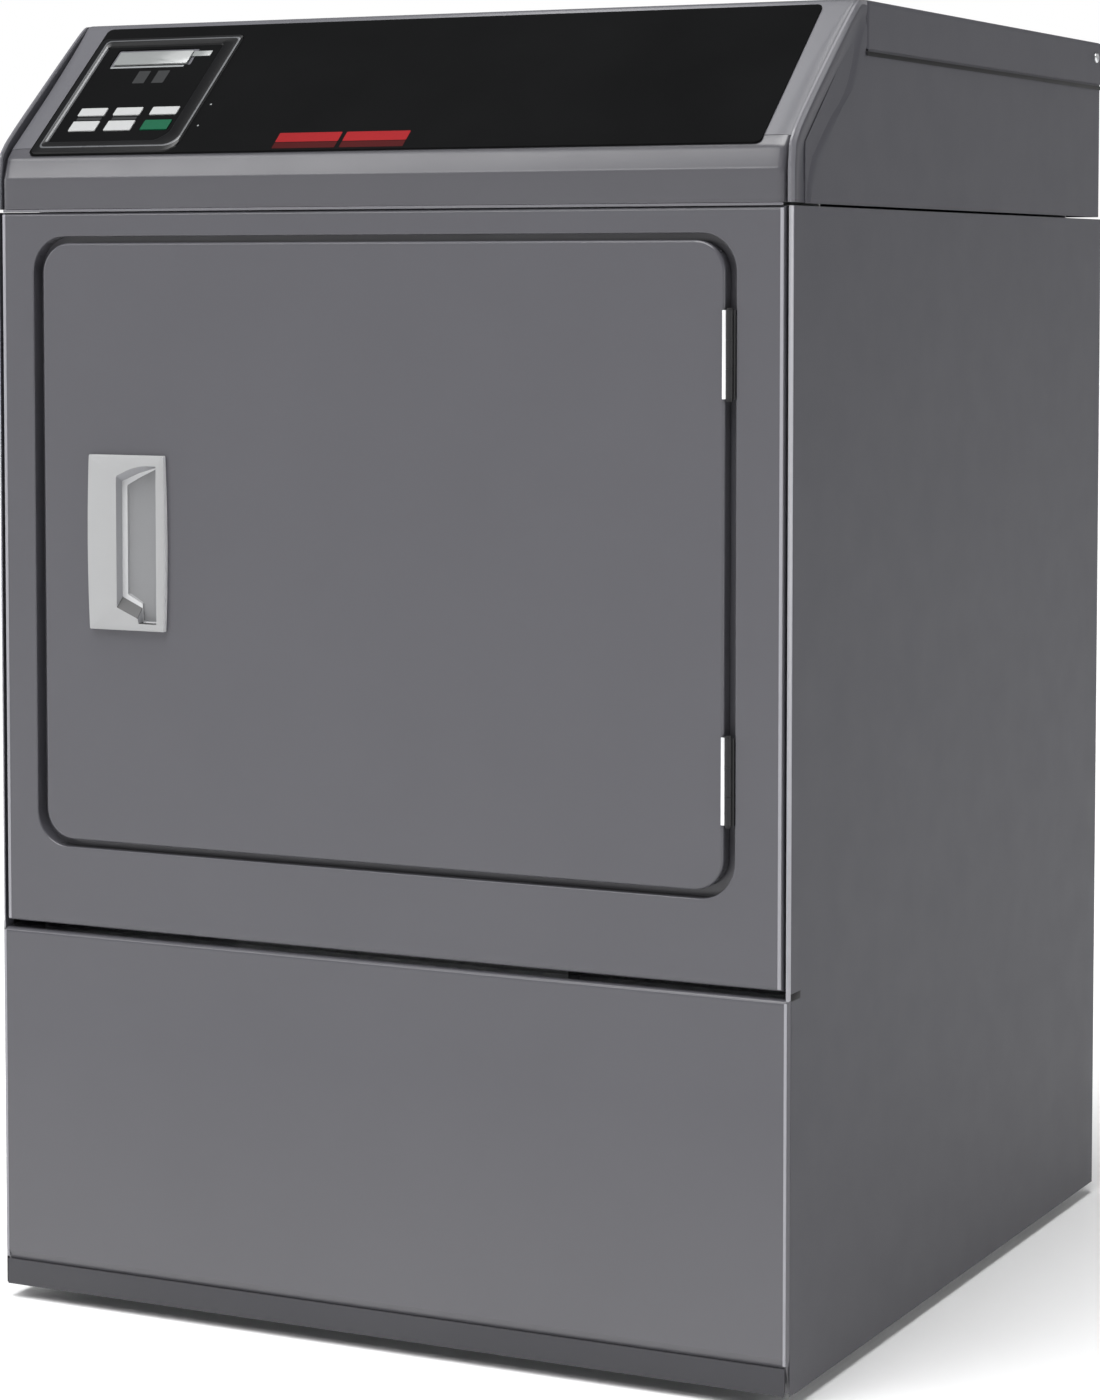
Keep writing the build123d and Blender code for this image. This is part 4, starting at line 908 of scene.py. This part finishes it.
# ---- control head -------------------------------------------------------------------------
@dataclass
class HeadShell:
    """Moulded housing of the controls: upright trim, sloped fascia and scooped end caps."""

    outer: tuple[tuple[float, float], ...] = (
        (0.0, 875.5), (0.0, 885.0), (0.0, 893.0), (0.0, 898.6), (0.12, 899.7), (0.6, 900.9), (3.9, 911.0),
        (4.6, 913.2), (5.2, 915.2), (6.2, 917.2), (11.75, 923.4), (12.2, 923.8), (16.5, 927.6), (26.0, 936.0),
        (40.0, 948.4), (55.0, 961.6), (70.0, 974.9), (85.0, 988.2), (100.0, 1001.5), (112.0, 1012.1),
        (122.0, 1020.9), (126.0, 1024.2), (128.6, 1026.2), (131.2, 1027.5), (134.0, 1028.0), (138.0, 1028.0),
        (142.4, 1028.0))
    inner: tuple[tuple[float, float], ...] = (
        (33.0, 875.5), (34.6, 879.5), (36.2, 883.0), (37.6, 885.8), (38.8, 887.6), (40.6, 890.0), (43.6, 894.0),
        (46.2, 897.2), (49.0, 900.6), (52.5, 904.8), (57.0, 910.0), (57.6, 910.6), (62.0, 915.3), (71.0, 924.6),
        (83.0, 937.0), (94.0, 945.3), (105.0, 952.9), (114.0, 960.0), (122.0, 967.6), (128.0, 974.4),
        (133.0, 981.0), (136.6, 985.8), (139.4, 990.0), (141.4, 993.4), (142.4, 998.0), (142.4, 1008.0),
        (142.4, 1018.0))
    proud: tuple[float, ...] = (
        0.0, 0.0, 0.0, 0.2, 0.5, 0.9, 2.4, 3.0, 3.4, 3.9, 4.4, 4.6, 4.9, 5.1, 5.0, 4.7, 4.3, 3.8, 3.1, 2.4,
        1.6, 1.1, 0.7, 0.3, 0.0, 0.0, 0.0)
    scoop: tuple[float, ...] = (
        0.74, 0.76, 0.80, 0.82, 0.84, 0.86, 0.92, 0.96, 1.0, 1.02, 1.06, 1.06, 1.08, 1.10, 1.12, 1.12, 1.08, 1.0,
        0.90, 0.78, 0.66, 0.58, 0.52, 0.46, 0.42, 0.40, 0.38)
    middle_section: tuple[tuple[float, float], ...] = (
        (324.0, 0.0), (329.0, 0.0), (331.4, -0.2), (333.2, -0.9), (334.4, -2.1), (335.1, -4.0), (335.4, -7.0),
        (335.4, -14.0))
    slope_section: tuple[tuple[float, float], ...] = (
        (322.0, 0.0), (326.0, -0.15), (329.0, -0.45), (331.6, -0.9), (333.6, -1.5), (335.1, -2.3), (336.1, -3.4),
        (336.2, -10.0))
    cap_section: tuple[tuple[float, float], ...] = (
        (337.5, -14.0), (337.5, -6.0), (337.55, -3.6), (337.75, -2.5), (338.1, -1.8), (338.6, -1.8), (339.9, -3.5),
        (340.2, -4.4), (340.3, -5.6), (340.2, -7.6), (339.6, -11.0), (338.8, -15.4), (338.1, -20.8), (337.8, -26.0),
        (338.0, -31.0), (338.7, -36.0), (339.6, -40.0), (340.1, -42.4), (340.3, -45.0), (340.3, -1000.0))
    reach: float = 340.3
    lean_start: int = 14
    lean_stop: int = 23
    lean_share: float = 0.8
    rounded: float = 6.0
    top: float = 1028.0
    wall: float = 1.2

    def spot(self, side: float, x: float, depth: float, row: int, bulge: float, spread: float) -> Vector:
        """Place of one corner of the shell.

        Args:
            side: -1 on the left, +1 on the right.
            x: distance from the middle, in millimetres.
            depth: depth below the outline, in millimetres, negative inwards.
            row: the station.
            bulge: how far the outline stands proud there, in millimetres.
            spread: factor on depths past the rounded edge.

        Returns:
            The point.
        """
        (y0, z0), (y1, z1) = self.outer[row], self.inner[row]
        before, after = self.outer[max(row - 1, 0)], self.outer[min(row + 1, len(self.outer) - 1)]
        run = Vector((after[0] - before[0], after[1] - before[1])).normalized()
        y0, z0 = max(y0 - run.y * bulge, 0.0), min(z0 + run.x * bulge, self.top)
        if depth < -self.rounded:
            depth = -self.rounded + (depth + self.rounded) * spread
        lean = min(max((row - self.lean_start) / (self.lean_stop - self.lean_start), 0.0), 1.0)
        x += lean * lean * (3 - 2 * lean) * self.lean_share * (self.reach - x)
        length = math.hypot(y1 - y0, z1 - z0)
        share = min(-depth / length, 1.0)
        return Vector((side * x * MM, front_y() + (y0 + (y1 - y0) * share) * MM, (z0 + (z1 - z0) * share) * MM))

    def sheet(self, name: str, nodes: list[str], columns: Sequence[tuple[float, float, float]], rows: Sequence[int],
              bulged: bool) -> bpy.types.Object:
        """Makes a moulding over some stations.

        Args:
            name: the piece's name.
            nodes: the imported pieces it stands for.
            columns: side, x and depth of each column of corners.
            rows: the stations.
            bulged: whether it stands proud and is scooped.

        Returns:
            The finished piece.
        """
        form = Form()
        faces = form.skin(len(columns) - 1, len(rows) - 1, lambda c, r: self.spot(
            columns[c][0], columns[c][1], columns[c][2], rows[r], self.proud[rows[r]] if bulged else 0.0,
            self.scoop[rows[r]] if bulged else 1.0),
            lambda c: 0 if not bulged or c < 3 else 2 if c < 7 else 1)
        bmesh.ops.recalc_face_normals(form.bm, faces=faces)
        form.bm.normal_update()
        probe = max(faces, key=lambda f: f.calc_area())
        outwards = Vector((columns[-1][0] if bulged else 0.0, 0.0 if bulged else -1.0, 0.0))
        if probe.normal.dot(outwards) < 0:
            bmesh.ops.reverse_faces(form.bm, faces=faces)
        form.bm.normal_update()
        form.thicken(faces, self.wall * MM)
        # The upright trim takes the painted-shade copy; the sloped fascia keeps the lighter grey.
        flat_paint = SHADED_TRIM_GREY if rows[0] == 0 else FASCIA_GREY
        # End caps: the ridge columns take the painted highlight, and the inner wall and the rest take the sides'
        # painted-shade tone.
        paints = [SHADED_SIDE_GRAPHITE, SHADED_SIDE_GRAPHITE, RIDGE_HIGHLIGHT_GREY] if bulged else [flat_paint]
        return form.finish(name, "cabinet", paints, "fascia_plastic", nodes, 40.0)

    def build(self) -> None:
        """Makes every moulding."""
        last = len(self.outer) - 1
        for name, node, section, rows in (
                ("head_lower_trim", "fascia_lower_trim", self.middle_section, range(0, 11)),
                ("head_sloped_fascia", "control_fascia", self.slope_section, range(11, last + 1))):
            across = [(-1.0, x, d) for x, d in reversed(section)] + [(1.0, x, d) for x, d in section]
            self.sheet(name, [node], across, rows, False)
        for side, name in ((-1.0, "head_end_cap_left"), (1.0, "head_end_cap_right")):
            columns = [(side, x, d) for x, d in self.cap_section]
            self.sheet(name, [], columns, range(0, last + 1), True)


@dataclass
class ControlHead:
    """The sloped fascia's overlay, keypad frame, display and prints."""

    slope_degrees: float = 41.5
    slope_start: tuple[float, float] = (3.4 * MM, 916 * MM)
    overlay_rise: float = 1.0
    frame_inside: float = -0.3028
    frame_reach: float = 0.0012

    def place(self, x: float, s: float, rise: float = 0.0) -> Matrix:
        """A spot on the slope.

        Args:
            x: across.
            s: up the slope.
            rise: above the fascia's surface.

        Returns:
            The matrix whose XY lies in the slope.
        """
        base = Matrix.Translation((0, front_y() + self.slope_start[0], self.slope_start[1]))
        turn = Matrix.Rotation(math.radians(self.slope_degrees), 4, "X")
        return base @ turn @ Matrix.Translation((x, s, rise))

    def patch(self, form: Form, x0: float, x1: float, s0: float, s1: float, rise: float, thick: float,
              radius: float = 0.3) -> None:
        """Adds a rounded patch on the slope, sizes in millimetres.

        Args:
            form: the mesh.
            x0: left edge.
            x1: right edge.
            s0: lower edge.
            s1: upper edge.
            rise: height above the fascia.
            thick: thickness.
            radius: corner radius.
        """
        place = self.place((x0 + x1) / 2 * MM, (s0 + s1) / 2 * MM, rise * MM)
        form.plate(place, ((x1 - x0) * MM, (s1 - s0) * MM), radius * MM, thick * MM, 4)

    def bezel(self) -> None:
        """Makes the raised frame round the display and keys."""
        form = Form()
        flat = self.place(0.0, 0.0, 0.0)

        def rim(x0: float, x1: float, s0: float, s1: float, rise: float, radius: float, cut: float
                ) -> list[bmesh.types.BMEdge]:
            """One wire of the frame, with its lower right corner cut off by cut."""
            corners = [(x0, s0, radius), (x1 - cut, s0, radius), (x1, s0 + cut, radius), (x1, s1, radius),
                       (x0, s1, radius)]
            return form.outline(flat @ Matrix.Translation((0, 0, rise * MM)),
                                [(x * MM, s * MM, r * MM) for x, s, r in corners], 4)

        wires = [rim(-312.0, -178.0, 3.4, 148.0, 0.9, 5.0, 7.0), rim(-311.6, -178.3, 3.8, 147.6, 2.2, 4.8, 7.0),
                 rim(-306.0, -178.8, 8.4, 144.0, 3.0, 4.4, 7.0), rim(-304.8, -180.4, 9.9, 142.6, 3.1, 4.2, 7.4),
                 rim(-303.8, -191.4, 15.2, 139.6, 2.6, 3.5, 9.0), rim(-302.4, -192.7, 16.8, 137.8, 2.1, 3.2, 9.0),
                 rim(-301.8, -193.4, 17.4, 136.8, 0.9, 3.0, 9.0)]
        # The third band takes the painted highlight along the frame's edge.
        for band, (first, second) in enumerate(zip(wires, wires[1:] + wires[:1])):
            form.bridge(first, second, 1 if band == 2 else 0)
        bmesh.ops.recalc_face_normals(form.bm, faces=form.bm.faces[:])
        # Faces of the inner left wall take the painted highlight too.
        inner = [f for f in form.bm.faces if f.normal.x > 0.2
                 and abs(f.calc_center_median().x - self.frame_inside) < self.frame_reach]
        for face in inner:
            face.material_index = 1
        form.finish("keypad_frame", "cabinet", [BEZEL_GREY, BEZEL_HIGHLIGHT], "bezel_plastic", ["keypad_bezel"], 25.0)

    def build(self) -> None:
        """Makes every piece of the head."""
        self.bezel()
        marks = Form()
        under = Form()
        for left in (-91.5, -32.5):
            self.patch(marks, left, left + 55, 12.6, 23.4, self.overlay_rise, 0.12, 0.8)
            self.patch(under, left, left + 55, 5.0, 12.0, self.overlay_rise, 0.12, 0.8)
        marks.finish("overlay_red_bars", "cabinet", [PRINT_RED], "overlay_black")
        under.finish("overlay_deep_red_bars", "cabinet", [PRINT_DEEP_RED], "overlay_black")
        dim = Form()
        for x in (-252.5, -234.5):
            self.patch(dim, x - 5.5, x + 5.5, 90, 105.5, self.overlay_rise, 0.12, 0.6)
        for x in (-277.0, -244.0):
            self.patch(dim, x - 11.5, x + 11.5, 44.3, 47.5, self.overlay_rise, 0.12, 0.5)
        dim.finish("overlay_lamp_fields", "cabinet", [PRINT_GREY], "overlay_black")
        glass = Form()
        self.patch(glass, -286.5, -217.5, 113.5, 129.5, 0.4, 1.6, 0.8)
        self.patch(glass, -217.0, -200.0, 123.0, 129.5, 0.4, 0.9, 0.5)
        glass.soften(0.25 * MM, 2)
        glass.finish("display_pane", "cabinet", [LCD_GREY], "display", ["display_window"])
        rule = Form()
        self.patch(rule, -288, -219, 109.8, 111.6, self.overlay_rise, 0.3, 0.2)
        self.patch(rule, -171.5, -169.9, 60.0, 61.6, self.overlay_rise, 0.12, 0.5)
        self.patch(rule, -171.5, -169.9, 34.0, 35.6, self.overlay_rise, 0.12, 0.5)
        rule.finish("overlay_fine_marks", "cabinet", [PRINT_PALE], "overlay_black")


# ---- studio -------------------------------------------------------------------------------
@dataclass
class Studio:
    """Floor, lights, sky and camera."""

    camera_place: Point = (1.3356, -2.7735, 0.8220)
    heading: float = 26.3998
    tilt: float = 3.5651
    lens: float = 93.579
    shift: tuple[float, float] = (0.00407, -0.14)

    def floor(self) -> None:
        """Lays a plain pale floor."""
        bm = bmesh.new()
        bmesh.ops.create_circle(bm, cap_ends=True, segments=96, radius=30.0)
        mesh = bpy.data.meshes.new("studio_floor")
        bm.to_mesh(mesh)
        bm.free()
        mesh.materials.append(FLOOR_PALE.material())
        piece = bpy.data.objects.new("studio_floor", mesh)
        bpy.context.scene.collection.objects.link(piece)

    def lamp(self, name: str, place: Point, aim: Point, size: tuple[float, float], power: float) -> None:
        """Hangs a soft box.

        Args:
            name: the light's name.
            place: where it hangs.
            aim: the point it faces.
            size: width and height.
            power: in watts.
        """
        data = bpy.data.lights.new(name, "AREA")
        data.shape = "RECTANGLE"
        data.size, data.size_y = size
        data.energy = power
        lamp = bpy.data.objects.new(name, data)
        lamp.location = place
        lamp.rotation_euler = (Vector(aim) - Vector(place)).to_track_quat("-Z", "Y").to_euler()
        bpy.context.scene.collection.objects.link(lamp)

    def sun(self, name: str, towards: Point, spread: float, power: float) -> None:
        """Adds an even light from very far away.

        Args:
            name: the light's name.
            towards: direction from the object to the light.
            spread: its apparent width, in degrees.
            power: in watts per square metre.
        """
        data = bpy.data.lights.new(name, "SUN")
        data.energy = power
        data.angle = math.radians(spread)
        lamp = bpy.data.objects.new(name, data)
        lamp.rotation_euler = Vector(towards).to_track_quat("Z", "Y").to_euler()
        bpy.context.scene.collection.objects.link(lamp)

    def sky(self) -> None:
        """Bright surroundings at eye level that darken overhead."""
        world = bpy.data.worlds.new("studio_sky")
        world.use_nodes = True
        tree = world.node_tree
        place = tree.nodes.new("ShaderNodeTexCoord").outputs["Generated"]
        split = tree.nodes.new("ShaderNodeSeparateXYZ")
        ramp = tree.nodes.new("ShaderNodeValToRGB")
        ramp.color_ramp.elements[0].position = 0.08
        ramp.color_ramp.elements[0].color = (1.0, 1.0, 1.0, 1.0)
        ramp.color_ramp.elements[1].position = 0.45
        ramp.color_ramp.elements[1].color = (0.08, 0.08, 0.085, 1.0)
        fade = tree.nodes.new("ShaderNodeMapRange")
        fade.inputs["From Min"].default_value = 0.0
        fade.inputs["From Max"].default_value = 0.6
        fade.inputs["To Min"].default_value = 1.0
        fade.inputs["To Max"].default_value = 0.35
        tree.links.new(place, split.inputs["Vector"])
        tree.links.new(split.outputs["Z"], ramp.inputs["Fac"])
        tree.links.new(split.outputs["X"], fade.inputs["Value"])
        tree.links.new(ramp.outputs["Color"], tree.nodes["Background"].inputs["Color"])
        tree.links.new(fade.outputs["Result"], tree.nodes["Background"].inputs["Strength"])
        bpy.context.scene.world = world

    def camera(self) -> None:
        """Sets the camera."""
        data = bpy.data.cameras.new("camera")
        data.sensor_fit = "AUTO"
        data.sensor_width = 36.0
        data.lens = self.lens
        data.shift_x, data.shift_y = self.shift
        data.clip_end = 100.0
        camera = bpy.data.objects.new("camera", data)
        camera.location = self.camera_place
        camera.rotation_euler = (math.radians(90.0 - self.tilt), 0.0, math.radians(self.heading))
        bpy.context.scene.collection.objects.link(camera)
        bpy.context.scene.camera = camera

    def build(self) -> None:
        """Sets up the whole studio."""
        self.floor()
        self.sky()
        self.sun("ceiling_light", (-0.05, -0.33, 0.94), 44.0, 3.9)
        self.lamp("strip_light", (3.44, -1.14, 0.8), (0.34, -0.37, 0.5), (0.14, 1.6), 16.0)
        self.lamp("front_box", (-2.15, -3.45, 3.3), (0.0, -0.37, 0.91), (2.8, 0.6), 46.0)
        self.lamp("roof_box", (-0.95, -0.05, 3.2), (0.1, -0.32, 0.97), (1.7, 0.6), 11.0)
        self.lamp("left_box", (-3.1, -0.9, 1.7), (-0.34, -0.3, 0.95), (0.8, 1.4), 9.0)
        self.sun("floor_light", (0.75, 0.45, 0.48), 30.0, 0.35)
        self.camera()
        settings = bpy.context.scene.view_settings
        settings.view_transform = "Standard"


def main() -> None:
    """Builds the dryer's looks and its studio."""
    logging.basicConfig(level=logging.INFO, format="%(name)s: %(message)s")
    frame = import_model()
    dress_nodes(frame["nodes"])
    SideSheet().build()
    Edging().build()
    BackDetails().build()
    DoorPull().build()
    HeadShell().build()
    ControlHead().build()
    Studio().build()


if __name__ == "__main__":
    main()
